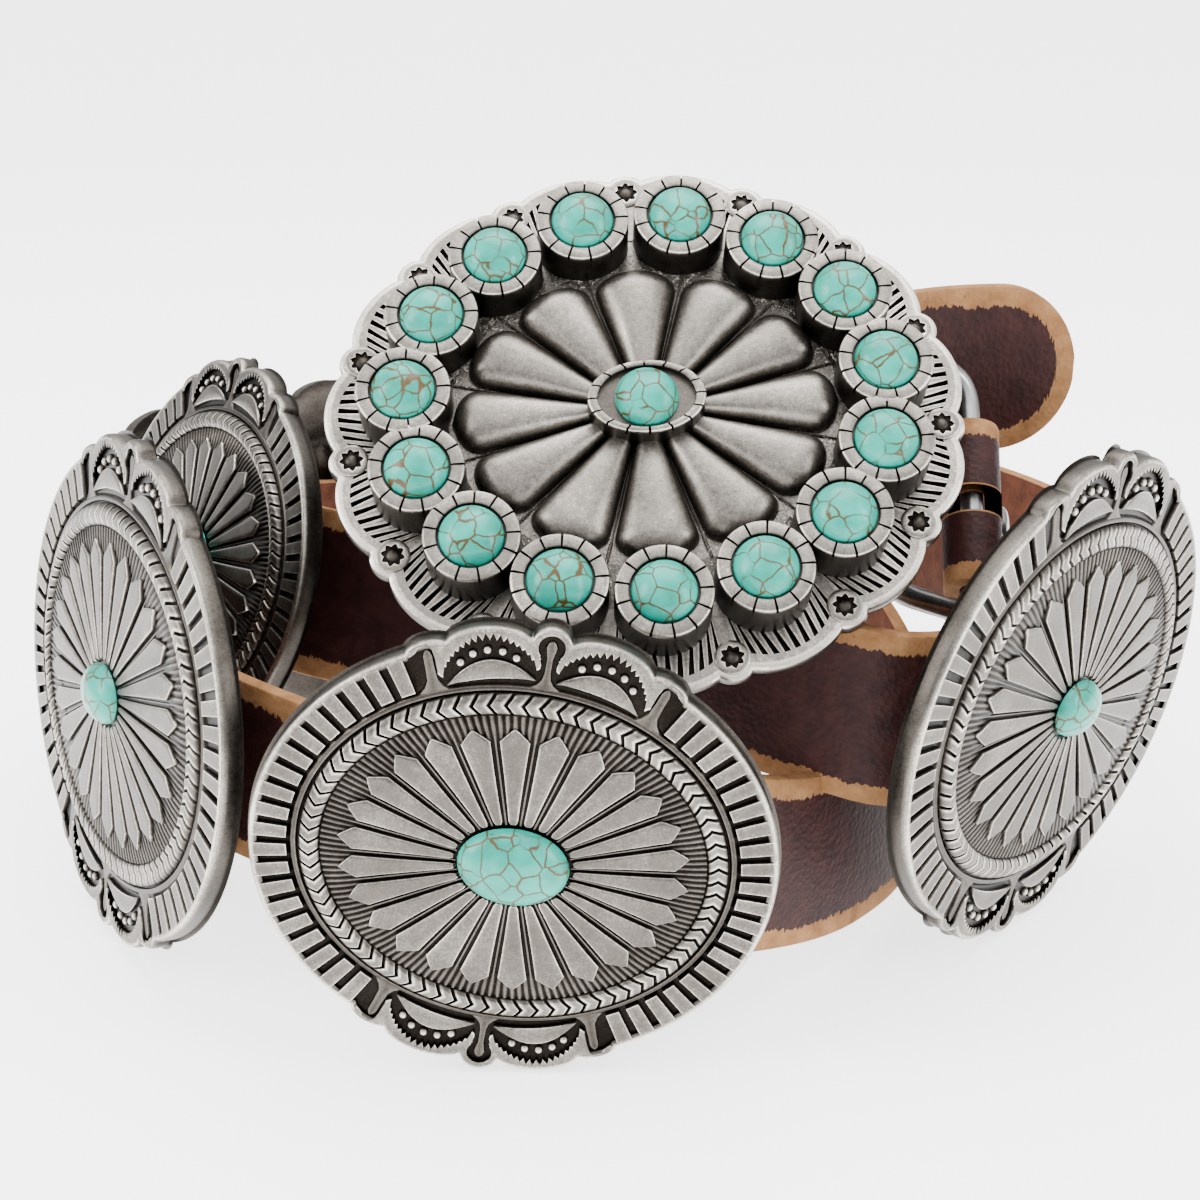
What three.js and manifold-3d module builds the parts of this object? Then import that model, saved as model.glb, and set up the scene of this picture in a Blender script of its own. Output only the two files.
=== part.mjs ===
// A concho belt, coiled and standing on its edge: a leather strap with six cast conchos,
// and a large cast buckle that leans back on the coil. Millimetres, +Z up.
import * as THREE from 'three';
import { mergeVertices } from 'three/addons/utils/BufferGeometryUtils.js';
import Module from 'manifold-3d';

const wasm = await Module();
wasm.setup();

// Strap
const STRAP_WIDTH = 32;
const STRAP_THICKNESS = 3;
const TIP_LENGTH = 15;
const FLAP_LENGTH = 30;
const FOLD_STRAIGHT = 30;
const FLAP_CLOSES_FROM = 4;
const FLAP_CLOSED_AT = 18;
const FOLD_SLOT_WIDTH = 5;
const FOLD_SLOT_DEPTH = 9;
const STEPS_PER_ROW = 3;

// Clearances
const FIT_GAP = 0.3;
const SEAT_GAP = 0.6;
const LOOP_SLACK = 1.2;

// Conchos, in two sizes of one design
const LARGE = { halfWidth: 51.5, halfHeight: 48, stoneX: 7.2, stoneY: 5.4, stoneRise: 3.6 };
const SMALL = { halfWidth: 43.2, halfHeight: 40.5, stoneX: 9, stoneY: 6.6, stoneRise: 4.2 };
const CONCHO_DOME = 2.4;
const CONCHO_WALL = 2.2;
const CONCHO_RIM = 2.8;
const PETAL_COUNT = 26;
const ROPE_POINTS = 26;
const PETAL_RELIEF = 0.9;
const PETAL_TIP = 0.655;
const PETAL_VALLEY_TIP = 0.585;
const PETAL_TIP_SQUASH = 0.94;
const STONE_SINK = 0.6;
const ROPE_RELIEF = 1.0;
const LOOP_BAR_WIDTH = 8;
const LOOP_BAR_THICKNESS = 2;
const LOOP_POST_RADIUS = 1.5;
const LOOP_POST_SPREAD = 5.6;
const LOOP_POST_SIDES = 6;

// Coil: the strap's route is a table of shares of these two
const COIL_WIDTH = 200;
const COIL_DEPTH = 200;

// Buckle
const BUCKLE_HALF_WIDTH = 56.5;
const BUCKLE_HALF_HEIGHT = 51.1;
const BUCKLE_RIM = 2.4;
const BUCKLE_PLACE = new THREE.Vector3(8, -9.7, 99.8);
const BUCKLE_LEAN = 42;
const BUCKLE_ROLL = 4;
const STONE_COUNT = 15;
const STONE_SIDES = 12;
const ROUND_STONE_RADIUS = 5.5;
const ROUND_STONE_RISE = 3.8;
const BEZEL_RADIUS = 8.2;
const BEZEL_HEIGHT = 9.4;
const BEZEL_SEAT_DEPTH = 1.2;
const BEZEL_EDGE_MARGIN = 6.6;
const BEZEL_SIDES = 10;
const BUCKLE_PETALS = 12;
const BUCKLE_PETAL_RELIEF = 4;
const BUCKLE_FIELD_RISE = 2.2;
const CENTRE_BEZEL_X = 10.2;
const CENTRE_BEZEL_Y = 7;
const CENTRE_BEZEL_RISE = 8.6;

const PRONG_RADIUS = 1.6;
const PRONG_REACH = 7;
const PRONG_INSET = 20;

// Bail
const WIRE_RADIUS = 2;
const BAIL_REACH = 21;
const BAIL_HINGE_INSET = 15.5;
const BAIL_SLIDE = -9;
const BAIL_SWING = 32;
const HINGE_TILT = -7;
const BAIL_SIDE_ROOM = 3;
const BAIL_CORNER = 7;
const WIRE_SIDES = 8;
const EAR_WIDTH = 5;
const EAR_WALL = 1.6;
const EAR_SPREAD = 20;
const FOLD_TURN = 12;
const STRAP_ON_BAR = -3;

// Rivets that close the fold
const RIVET_RADIUS = 1.6;
const RIVET_HEAD_RADIUS = 4;
const RIVET_HEAD = 1.2;
const RIVET_SPREAD = 13;
const RIVET_FROM_BAR = 23;

const DEGREE = Math.PI / 180;
const UP = new THREE.Vector3(0, 0, 1);

// Materials
const LEATHER = new THREE.MeshStandardMaterial({ color: 0x46282a, roughness: 0.6, metalness: 0 });
const SILVER = new THREE.MeshStandardMaterial({ color: 0x9a9894, roughness: 0.38, metalness: 1 });
const WIRE = new THREE.MeshStandardMaterial({ color: 0xa9a9a8, roughness: 0.3, metalness: 1 });
const TURQUOISE = new THREE.MeshStandardMaterial({ color: 0x6fd6c1, roughness: 0.35, metalness: 0 });

// Closed surfaces and booleans

function geometryOf(points, faces) {
  const geometry = new THREE.BufferGeometry();
  geometry.setAttribute('position', new THREE.Float32BufferAttribute(points.flat(), 3));
  geometry.setIndex(faces.flat());
  return geometry;
}

function solidOf(geometry) {
  const bare = geometry.clone();
  bare.deleteAttribute('normal');
  bare.deleteAttribute('uv');
  const merged = mergeVertices(bare, 1e-3);
  return new wasm.Manifold(new wasm.Mesh({
    numProp: 3,
    vertProperties: merged.attributes.position.array,
    triVerts: new Uint32Array(merged.index.array),
  }));
}

function geometryOfSolid(solid) {
  const mesh = solid.getMesh();
  const geometry = new THREE.BufferGeometry();
  geometry.setAttribute('position', new THREE.BufferAttribute(mesh.vertProperties, 3));
  geometry.setIndex(new THREE.BufferAttribute(mesh.triVerts, 1));
  return geometry;
}

function namedMesh(name, geometry, material) {
  const mesh = new THREE.Mesh(geometry, material);
  mesh.name = name;
  return mesh;
}

// A ring is a list of { turn, point } with turn from 0 to 1; neighbours may differ in count.
function ring(turns, pointAt) {
  return turns.map((turn, index) => ({ turn, point: pointAt(turn * 2 * Math.PI, index) }));
}

function evenTurns(count) {
  return Array.from({ length: count }, (_, index) => index / count);
}

// Joins each ring to the next with triangles, in the order of their turns.
function closedRings(rings) {
  const points = [];
  const starts = [];
  for (const one of rings) {
    starts.push(points.length);
    for (const { point } of one) {
      points.push(point);
    }
  }
  const faces = [];
  for (let r = 0; r + 1 < rings.length; r += 1) {
    const inner = rings[r];
    const outer = rings[r + 1];
    let i = 0;
    let o = 0;
    const innerSteps = inner.length > 1 ? inner.length : 0;
    const outerSteps = outer.length > 1 ? outer.length : 0;
    while (i < innerSteps || o < outerSteps) {
      const nextInner = i < innerSteps ? (inner[i + 1]?.turn ?? 1 + inner[0].turn) : Infinity;
      const nextOuter = o < outerSteps ? (outer[o + 1]?.turn ?? 1 + outer[0].turn) : Infinity;
      const a = starts[r] + (i % inner.length);
      const b = starts[r + 1] + (o % outer.length);
      if (nextOuter <= nextInner) {
        faces.push([a, b, starts[r + 1] + ((o + 1) % outer.length)]);
        o += 1;
      } else {
        faces.push([a, b, starts[r] + ((i + 1) % inner.length)]);
        i += 1;
      }
    }
  }
  return geometryOf(points, faces);
}

function bump(angle, centre, halfSpan) {
  const away = Math.abs(Math.atan2(Math.sin(angle - centre), Math.cos(angle - centre)));
  return away < halfSpan ? Math.sqrt(1 - (away / halfSpan) ** 2) : 0;
}

// Cabochons

function cabochon(radiusX, radiusY, rise, sides) {
  const levels = [
    { out: 0.7, up: 0.78 },
    { out: 1, up: 0 },
  ];
  const rings = levels.map(({ out, up }) => ring(evenTurns(sides), (angle) => [
    radiusX * out * Math.cos(angle), radiusY * out * Math.sin(angle), rise * up,
  ]));
  const top = [{ turn: 0, point: [0, 0, rise] }];
  const base = [{ turn: 0, point: [0, 0, 0] }];
  return closedRings([top, ...rings, base]);
}

// The plate's back over the strap, and the strap's middle plane down from the rim's top
const CONCHO_BACK = CONCHO_DOME * 0.85 - CONCHO_WALL;
const CONCHO_STAND = STRAP_THICKNESS / 2 + SEAT_GAP + CONCHO_RIM;

// Conchos: local x runs along the strap, y across it and z out of the face; z = 0 is the rim's top

const LOBES = [
  { at: 0, half: 4.2, out: 0.075 },
  { at: 13.2, half: 9.2, out: 0.06 },
  { at: -13.2, half: 9.2, out: 0.06 },
  { at: 26.6, half: 4.6, out: 0.03 },
  { at: -26.6, half: 4.6, out: 0.03 },
];
const BASE_HEIGHT_SHARE = 0.93;
const LOBE_STEPS = [0, 4.1, 7, 13.2, 19.4, 22.3, 26.6, 31.2];
const SIDE_STEPS = 8;

function conchoTurns() {
  const turns = [];
  for (const end of [90, 270]) {
    for (const step of LOBE_STEPS) {
      turns.push((end + step) / 360);
      if (step > 0) {
        turns.push((end - step) / 360);
      }
    }
    const lobesEnd = LOBE_STEPS[LOBE_STEPS.length - 1];
    for (let k = 1; k <= SIDE_STEPS; k += 1) {
      const angle = end + lobesEnd + ((180 - 2 * lobesEnd) * k) / (SIDE_STEPS + 1);
      turns.push((angle % 360) / 360);
    }
  }
  return turns.sort((a, b) => a - b);
}

function conchoEdge(angle) {
  const fromEnd = (end) => LOBES.reduce(
    (most, lobe) => Math.max(most, lobe.out * bump(angle, (end + lobe.at) * DEGREE, lobe.half * DEGREE)), 0);
  return 1 + Math.max(fromEnd(90), fromEnd(270));
}

function conchoBody(size) {
  const { halfWidth, halfHeight, stoneX, stoneY } = size;
  const baseHeight = halfHeight * BASE_HEIGHT_SHARE;
  const petalTurns = evenTurns(2 * PETAL_COUNT);
  const oval = (turns, shareX, shareY, height) => ring(turns, (angle, index) => [
    halfWidth * shareX * Math.cos(angle),
    baseHeight * shareY * Math.sin(angle),
    typeof height === 'function' ? height(index) : height,
  ]);
  const edge = (turns, share, height) => ring(turns, (angle) => {
    const out = conchoEdge(angle) - (1 - share);
    return [halfWidth * out * Math.cos(angle), baseHeight * out * Math.sin(angle), height];
  });
  const crest = (index, high, low) => (index % 2 === 0 ? high : low);
  const seat = CONCHO_DOME + PETAL_RELIEF - STONE_SINK;
  const seatRing = (grow, turns, height) => ring(turns, (angle, index) => [
    (stoneX + grow) * Math.cos(angle), (stoneY + grow) * Math.sin(angle), height(index),
  ]);
  const tip = (high, low) => ring(petalTurns, (angle, index) => {
    const share = crest(index, high, low);
    return [
      halfWidth * share * Math.cos(angle),
      baseHeight * share * PETAL_TIP_SQUASH * Math.sin(angle),
      CONCHO_DOME * 0.62 + crest(index, PETAL_RELIEF, 0),
    ];
  });
  const ropeTurns = evenTurns(ROPE_POINTS);
  const outline = conchoTurns();
  return closedRings([
    [{ turn: 0, point: [0, 0, seat] }],
    seatRing(0.2, evenTurns(PETAL_COUNT), () => seat),
    seatRing(1.2, petalTurns, (index) => CONCHO_DOME + crest(index, PETAL_RELIEF, 0)),
    tip(PETAL_TIP, PETAL_VALLEY_TIP),
    oval(ropeTurns, 0.72, 0.67, CONCHO_DOME * 0.5),
    oval(ropeTurns, 0.76, 0.72, CONCHO_DOME * 0.42 + ROPE_RELIEF),
    oval(ropeTurns, 0.8, 0.765, CONCHO_DOME * 0.35),
    edge(outline, 0.965, CONCHO_DOME * 0.25),
    edge(outline, 1, 0),
    edge(outline, 1, -CONCHO_RIM),
    oval(evenTurns(PETAL_COUNT), 0.9, 0.9, CONCHO_DOME * 0.2 - CONCHO_WALL),
    oval(evenTurns(PETAL_COUNT / 2), 0.5, 0.5, CONCHO_BACK),
    [{ turn: 0, point: [0, 0, CONCHO_BACK] }],
  ]);
}

// The loop behind the plate: a bar behind the strap on two posts above it and two below
function conchoLoop() {
  const inner = STRAP_WIDTH / 2 + LOOP_SLACK;
  const barTop = -CONCHO_STAND - STRAP_THICKNESS / 2 - SEAT_GAP;
  const barLength = 2 * (inner + 2 * LOOP_POST_RADIUS);
  const bar = new THREE.BoxGeometry(LOOP_BAR_WIDTH, barLength, LOOP_BAR_THICKNESS);
  bar.translate(0, 0, barTop - LOOP_BAR_THICKNESS / 2);
  let loop = solidOf(bar);
  const postFoot = barTop - LOOP_BAR_THICKNESS / 2;
  const postHead = CONCHO_DOME * 0.4 - CONCHO_WALL / 2;
  for (const side of [-1, 1]) {
    for (const across of [-1, 1]) {
      const post = new THREE.CylinderGeometry(LOOP_POST_RADIUS, LOOP_POST_RADIUS, postHead - postFoot, LOOP_POST_SIDES);
      post.rotateX(Math.PI / 2);
      post.translate(across * LOOP_POST_SPREAD / 2, side * (inner + LOOP_POST_RADIUS), (postHead + postFoot) / 2);
      loop = loop.add(solidOf(post));
    }
  }
  return loop;
}

function conchoGeometry(size) {
  return geometryOfSolid(solidOf(conchoBody(size)).add(conchoLoop()));
}

// Buckle: local x and y in the plate, z out of its face; z = 0 is the flange's top

const RING_X = BUCKLE_HALF_WIDTH - BEZEL_RADIUS - BEZEL_EDGE_MARGIN;
const RING_Y = BUCKLE_HALF_HEIGHT - BEZEL_RADIUS - BEZEL_EDGE_MARGIN;

function bezelAngle(index) {
  return (-90 + (360 * index) / STONE_COUNT) * DEGREE;
}

function buckleBody() {
  const pitch = 1 / STONE_COUNT;
  const scallopSteps = [0, 0.2, 0.38, 0.5, 0.62, 0.8];
  const outlineTurns = [];
  for (let index = 0; index < STONE_COUNT; index += 1) {
    for (const step of scallopSteps) {
      outlineTurns.push((0.75 + (index + step) * pitch) % 1);
    }
  }
  outlineTurns.sort((a, b) => a - b);
  const half = Math.PI / STONE_COUNT;
  const edgeShare = (angle) => {
    const scallop = Math.max(...evenTurns(STONE_COUNT).map(
      (turn) => bump(angle, turn * 2 * Math.PI - Math.PI / 2, half * 1.02)));
    const lobe = Math.max(...evenTurns(STONE_COUNT).map(
      (turn) => bump(angle, turn * 2 * Math.PI - Math.PI / 2 + half, half * 0.3)));
    return Math.max(0.9 + 0.1 * scallop, 0.945 + 0.045 * lobe);
  };
  const edge = (grow, height) => ring(outlineTurns, (angle) => [
    BUCKLE_HALF_WIDTH * (edgeShare(angle) + grow) * Math.cos(angle),
    BUCKLE_HALF_HEIGHT * (edgeShare(angle) + grow) * Math.sin(angle),
    height,
  ]);
  const oval = (count, x, y, height) => ring(evenTurns(count), (angle, index) => [
    x * Math.cos(angle), y * Math.sin(angle), typeof height === 'function' ? height(index) : height,
  ]);
  const perPetal = 4;
  const petalPoints = BUCKLE_PETALS * perPetal;
  const plump = [1, 0.85, 0, 0.85];
  const rounding = [1, 0.97, 0.87, 0.97];
  const petalRing = (x, y, relief) => ring(evenTurns(petalPoints), (angle, index) => {
    const round = rounding[index % perPetal];
    return [x * round * Math.cos(angle), y * round * Math.sin(angle),
      BUCKLE_FIELD_RISE + relief * plump[index % perPetal]];
  });
  const fieldX = RING_X - BEZEL_RADIUS * 0.9;
  const fieldY = RING_Y - BEZEL_RADIUS * 0.9;
  return closedRings([
    [{ turn: 0, point: [0, 0, BUCKLE_FIELD_RISE] }],
    oval(24, CENTRE_BEZEL_X - 1, CENTRE_BEZEL_Y - 1, BUCKLE_FIELD_RISE),
    petalRing(CENTRE_BEZEL_X + 0.5, CENTRE_BEZEL_Y + 0.5, BUCKLE_PETAL_RELIEF * 0.8),
    petalRing(fieldX * 0.78, fieldY * 0.78, BUCKLE_PETAL_RELIEF),
    petalRing(fieldX * 0.96, fieldY * 0.96, BUCKLE_PETAL_RELIEF * 0.5),
    oval(45, fieldX, fieldY, BUCKLE_FIELD_RISE),
    oval(45, RING_X, RING_Y, 0.4),
    edge(-0.02, 0.4),
    edge(0, 0),
    edge(0, -BUCKLE_RIM),
    oval(30, RING_X, RING_Y, -BUCKLE_RIM),
    oval(30, fieldX * 0.9, fieldY * 0.9, BUCKLE_FIELD_RISE - BUCKLE_RIM),
    [{ turn: 0, point: [0, 0, BUCKLE_FIELD_RISE - BUCKLE_RIM] }],
  ]);
}

function bezel(radiusX, radiusY, foot, top, seatX, seatY, sides) {
  const level = (x, y, height) => ring(evenTurns(sides), (angle) => [x * Math.cos(angle), y * Math.sin(angle), height]);
  return closedRings([
    [{ turn: 0, point: [0, 0, top - BEZEL_SEAT_DEPTH] }],
    level(seatX, seatY, top - BEZEL_SEAT_DEPTH),
    level(seatX, seatY, top),
    level(radiusX, radiusY, top),
    level(radiusX, radiusY, foot),
    [{ turn: 0, point: [0, 0, foot] }],
  ]);
}

const HINGE_X = BUCKLE_HALF_WIDTH - BAIL_HINGE_INSET;
const HINGE_Z = -BUCKLE_RIM - FIT_GAP - WIRE_RADIUS;
const hingeFrame = new THREE.Matrix4().makeRotationZ(HINGE_TILT * DEGREE).setPosition(HINGE_X, BAIL_SLIDE, HINGE_Z);

function buckleGeometry() {
  let solid = solidOf(buckleBody());
  const seatRadius = ROUND_STONE_RADIUS + FIT_GAP;
  for (let index = 0; index < STONE_COUNT; index += 1) {
    const angle = bezelAngle(index);
    const one = bezel(BEZEL_RADIUS, BEZEL_RADIUS, -BUCKLE_RIM / 2, BEZEL_HEIGHT, seatRadius, seatRadius, BEZEL_SIDES);
    one.translate(RING_X * Math.cos(angle), RING_Y * Math.sin(angle), 0);
    solid = solid.add(solidOf(one));
  }
  const centre = bezel(CENTRE_BEZEL_X, CENTRE_BEZEL_Y, BUCKLE_FIELD_RISE / 2, CENTRE_BEZEL_RISE,
    CENTRE_BEZEL_X - 1.8, seatRadius, 16);
  solid = solid.add(solidOf(centre));
  const earHalf = WIRE_RADIUS + FIT_GAP + EAR_WALL;
  for (const side of [-1, 1]) {
    const rise = -BUCKLE_RIM / 2 - HINGE_Z;
    const ear = new THREE.BoxGeometry(2 * earHalf, EAR_WIDTH, rise + earHalf);
    ear.translate(0, side * EAR_SPREAD / 2, (rise - earHalf) / 2);
    ear.applyMatrix4(hingeFrame);
    solid = solid.add(solidOf(ear));
  }
  const prongLength = PRONG_REACH + BUCKLE_RIM / 2;
  const prong = new THREE.CylinderGeometry(PRONG_RADIUS, PRONG_RADIUS, prongLength, 10);
  prong.rotateX(Math.PI / 2);
  prong.translate(PRONG_INSET - BUCKLE_HALF_WIDTH, 0, -BUCKLE_RIM / 2 - prongLength / 2);
  solid = solid.add(solidOf(prong));
  const bore = new THREE.CylinderGeometry(WIRE_RADIUS + FIT_GAP, WIRE_RADIUS + FIT_GAP, EAR_SPREAD + 2 * EAR_WIDTH, 12);
  bore.applyMatrix4(hingeFrame);
  solid = solid.subtract(solidOf(bore));
  return geometryOfSolid(solid);
}

// Strap: centre line, frames and section

// x and y are shares of the coil's width and depth. The height is a share of the half height of
// the concho size named by over. lean tips the strap's upper edge inwards, in degrees.
const ROUTE = [
  { x: 0.395, y: 0.25, over: LARGE, rise: 1.135, lean: 0 },
  { x: 0.35, y: 0.42, over: LARGE, rise: 1.021, lean: 0 },
  { x: 0.22, y: 0.55, over: SMALL, rise: 1.086, lean: 0 },
  { x: 0.04, y: 0.61, over: SMALL, rise: 1.025, lean: 0 },
  { x: -0.13, y: 0.56, over: SMALL, rise: 1.012, lean: 0 },
  { x: -0.2925, y: 0.45, over: SMALL, rise: 1.077, lean: 0, concho: 1, size: SMALL },
  { x: -0.395, y: 0.335, over: SMALL, rise: 1.235, lean: 6 },
  { x: -0.4175, y: 0.2275, over: SMALL, rise: 1.444, lean: 19 },
  { x: -0.3775, y: 0.1275, over: SMALL, rise: 1.531, lean: 19, concho: 2, size: SMALL },
  { x: -0.2675, y: 0.0375, over: LARGE, rise: 1.281, lean: 19 },
  { x: -0.1, y: -0.035, over: LARGE, rise: 1.25, lean: 6 },
  { x: 0.06, y: -0.095, over: LARGE, rise: 1.219, lean: 0 },
  { x: 0.165, y: -0.1375, over: LARGE, rise: 1.156, lean: 0 },
  { x: 0.25, y: -0.1625, over: LARGE, rise: 1.094, lean: 0 },
  { x: 0.3325, y: -0.1325, over: LARGE, rise: 1.073, lean: -4 },
  { x: 0.4025, y: -0.053, over: LARGE, rise: 1.008, lean: -6, concho: 3, size: LARGE },
  { x: 0.4775, y: 0.03, over: LARGE, rise: 0.938, lean: -4 },
  { x: 0.55, y: 0.19, over: LARGE, rise: 0.875, lean: 0 },
  { x: 0.54, y: 0.41, over: LARGE, rise: 0.875, lean: 0 },
  { x: 0.44, y: 0.59, over: LARGE, rise: 0.875, lean: 0 },
  { x: 0.27, y: 0.71, over: SMALL, rise: 1.037, lean: 0 },
  { x: 0.06, y: 0.765, over: SMALL, rise: 1.012, lean: 0 },
  { x: -0.15, y: 0.74, over: SMALL, rise: 1.002, lean: 0 },
  { x: -0.32, y: 0.5875, over: SMALL, rise: 1.002, lean: 0 },
  { x: -0.459, y: 0.4025, over: SMALL, rise: 1.002, lean: 0, concho: 4, size: SMALL },
  { x: -0.555, y: 0.27, over: LARGE, rise: 0.875, lean: 2 },
  { x: -0.55, y: 0.16, over: LARGE, rise: 0.938, lean: 5 },
  { x: -0.479, y: 0.048, over: LARGE, rise: 1.006, lean: 8 },
  { x: -0.42, y: -0.045, over: LARGE, rise: 1.004, lean: 8, concho: 5, size: LARGE },
  { x: -0.36, y: -0.138, over: LARGE, rise: 0.975, lean: 7 },
  { x: -0.19, y: -0.25, over: SMALL, rise: 1.074, lean: 2 },
  { x: -0.0685, y: -0.275, over: SMALL, rise: 1, lean: 0, concho: 6, size: SMALL },
  { x: 0.06, y: -0.25, over: SMALL, rise: 0.852, lean: 0 },
  { x: 0.155, y: -0.1825, over: SMALL, rise: 0.667, lean: 0 },
  { x: 0.235, y: -0.1, over: SMALL, rise: 0.556, lean: 0 },
  { x: 0.3, y: 0.01, over: SMALL, rise: 0.543, lean: 0 },
  { x: 0.31, y: 0.17, over: SMALL, rise: 0.691, lean: 0 },
  { x: 0.22, y: 0.33, over: LARGE, rise: 0.875, lean: 0 },
  { x: 0.05, y: 0.38, over: LARGE, rise: 1.188, lean: 0 },
  { x: -0.11, y: 0.32, over: LARGE, rise: 1.5, lean: 0 },
  { x: -0.16, y: 0.19, over: LARGE, rise: 1.75, lean: 0 },
  { x: -0.08, y: 0.07, over: LARGE, rise: 1.927, lean: 0 },
  { x: 0.07, y: 0.04, over: LARGE, rise: 2.01, lean: 0 },
  { x: 0.22, y: 0.075, over: LARGE, rise: 2.073, lean: 0 },
  { x: 0.335, y: 0.1175, over: LARGE, rise: 2.104, lean: 0 },
  { x: 0.455, y: 0.13, over: LARGE, rise: 2.104, lean: 0 },
];

const buckleFrame = new THREE.Matrix4().makeRotationFromEuler(
  new THREE.Euler((90 - BUCKLE_LEAN) * DEGREE, 0, BUCKLE_ROLL * DEGREE)).setPosition(BUCKLE_PLACE);

const bailFrame = buckleFrame.clone().multiply(hingeFrame)
  .multiply(new THREE.Matrix4().makeRotationY(BAIL_SWING * DEGREE));
const barCentre = new THREE.Vector3(BAIL_REACH, STRAP_ON_BAR, 0).applyMatrix4(bailFrame);
const barAxis = new THREE.Vector3(0, 1, 0).transformDirection(bailFrame);
const foldAhead = new THREE.Vector3(Math.sin(FOLD_TURN * DEGREE), 0, -Math.cos(FOLD_TURN * DEGREE))
  .transformDirection(buckleFrame.clone().multiply(hingeFrame));
const foldOut = foldAhead.clone().cross(barAxis);
const FOLD_RADIUS = WIRE_RADIUS + FIT_GAP + STRAP_THICKNESS / 2;
const LAYER_PITCH = STRAP_THICKNESS + FIT_GAP;
const foldStart = barCentre.clone().addScaledVector(foldOut, FOLD_RADIUS);

const STRAIGHT_MARKS = [0, 0.4, 0.8, 1];
const routePoints = [
  ...STRAIGHT_MARKS.map((share) => foldStart.clone().addScaledVector(foldAhead, share * FOLD_STRAIGHT)),
  ...ROUTE.map(({ x, y, over, rise }) => new THREE.Vector3(
    x * COIL_WIDTH, y * COIL_DEPTH, rise * over.halfHeight)),
];
const FIRST_ROW = routePoints.length - ROUTE.length;
const routeCurve = new THREE.CatmullRomCurve3(routePoints, false, 'centripetal');

// The strap's frame at a share of the curve's points: along it, across it and out of its face
function strapFrame(share) {
  const place = share * (routePoints.length - 1) - FIRST_ROW;
  const low = Math.min(Math.max(Math.floor(place), 0), ROUTE.length - 1);
  const high = Math.min(low + 1, ROUTE.length - 1);
  const part = Math.min(Math.max(place - low, 0), 1);
  const lean = (ROUTE[low].lean * (1 - part) + ROUTE[high].lean * part) * DEGREE;
  const along = routeCurve.getTangent(share);
  const flat = along.clone().cross(UP).normalize();
  const level = flat.clone().cross(along);
  const across = level.multiplyScalar(Math.cos(lean)).addScaledVector(flat, -Math.sin(lean));
  const fromFold = Math.min(Math.max((place + 1) / 2, 0), 1);
  const ease = fromFold * fromFold * (3 - 2 * fromFold);
  across.multiplyScalar(ease).addScaledVector(barAxis, 1 - ease);
  across.addScaledVector(along, -across.dot(along)).normalize();
  const out = along.clone().cross(across);
  return { origin: routeCurve.getPoint(share), along, across, out };
}

function sectionOf(origin, across, out, halfWidth) {
  const corner = (w, t) => origin.clone()
    .addScaledVector(across, w * halfWidth)
    .addScaledVector(out, (t * STRAP_THICKNESS) / 2);
  return [corner(-1, -1), corner(-1, 1), corner(1, 1), corner(1, -1)].map((point) => point.toArray());
}

function strapSections() {
  const sections = [];
  const half = STRAP_WIDTH / 2;
  const flapIn = foldOut.clone().negate();
  for (const ahead of [FLAP_LENGTH, FLAP_CLOSED_AT, (FLAP_CLOSED_AT + FLAP_CLOSES_FROM) / 2, FLAP_CLOSES_FROM]) {
    const closed = (ahead - FLAP_CLOSES_FROM) / (FLAP_CLOSED_AT - FLAP_CLOSES_FROM);
    const aside = FOLD_RADIUS - Math.min(closed, 1) * (2 * FOLD_RADIUS - LAYER_PITCH);
    const origin = barCentre.clone().addScaledVector(flapIn, aside).addScaledVector(foldAhead, ahead);
    sections.push(sectionOf(origin, barAxis, flapIn, half));
  }
  const foldSteps = 9;
  for (let k = 0; k < foldSteps; k += 1) {
    const turn = (Math.PI * k) / foldSteps;
    const out = flapIn.clone().multiplyScalar(Math.cos(turn)).addScaledVector(foldAhead, -Math.sin(turn));
    sections.push(sectionOf(barCentre.clone().addScaledVector(out, FOLD_RADIUS), barAxis, out, half));
  }
  const length = routeCurve.getLength();
  const tipStart = length - TIP_LENGTH;
  const shareAt = (distance) => routeCurve.getUtoTmapping(distance / length);
  const spans = (routePoints.length - 1) * STEPS_PER_ROW;
  for (let k = 0; k / spans < shareAt(tipStart - TIP_LENGTH / 3); k += 1) {
    const { origin, across, out } = strapFrame(k / spans);
    sections.push(sectionOf(origin, across, out, half));
  }
  for (const turn of [0, 25, 45, 65, 82]) {
    const distance = tipStart + TIP_LENGTH * Math.sin(turn * DEGREE);
    const { origin, across, out } = strapFrame(shareAt(distance));
    sections.push(sectionOf(origin, across, out, half * Math.cos(turn * DEGREE)));
  }
  return sections;
}

function loft(sections) {
  const corners = sections[0].length;
  const points = sections.flat();
  const faces = [];
  for (let s = 0; s + 1 < sections.length; s += 1) {
    for (let c = 0; c < corners; c += 1) {
      const a = s * corners + c;
      const b = s * corners + ((c + 1) % corners);
      faces.push([a, b + corners, b], [a, a + corners, b + corners]);
    }
  }
  const last = (sections.length - 1) * corners;
  for (let c = 1; c + 1 < corners; c += 1) {
    faces.push([0, c, c + 1], [last, last + c + 1, last + c]);
  }
  return geometryOf(points, faces);
}

const foldFrame = new THREE.Matrix4().makeBasis(foldAhead, barAxis, foldOut).setPosition(barCentre);

const RIVET_GRIP = STRAP_THICKNESS + LAYER_PITCH + 2 * FIT_GAP;

function rivetPlace(side) {
  return new THREE.Vector3(RIVET_FROM_BAR, (side * RIVET_SPREAD) / 2, FOLD_RADIUS - LAYER_PITCH / 2);
}

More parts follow.
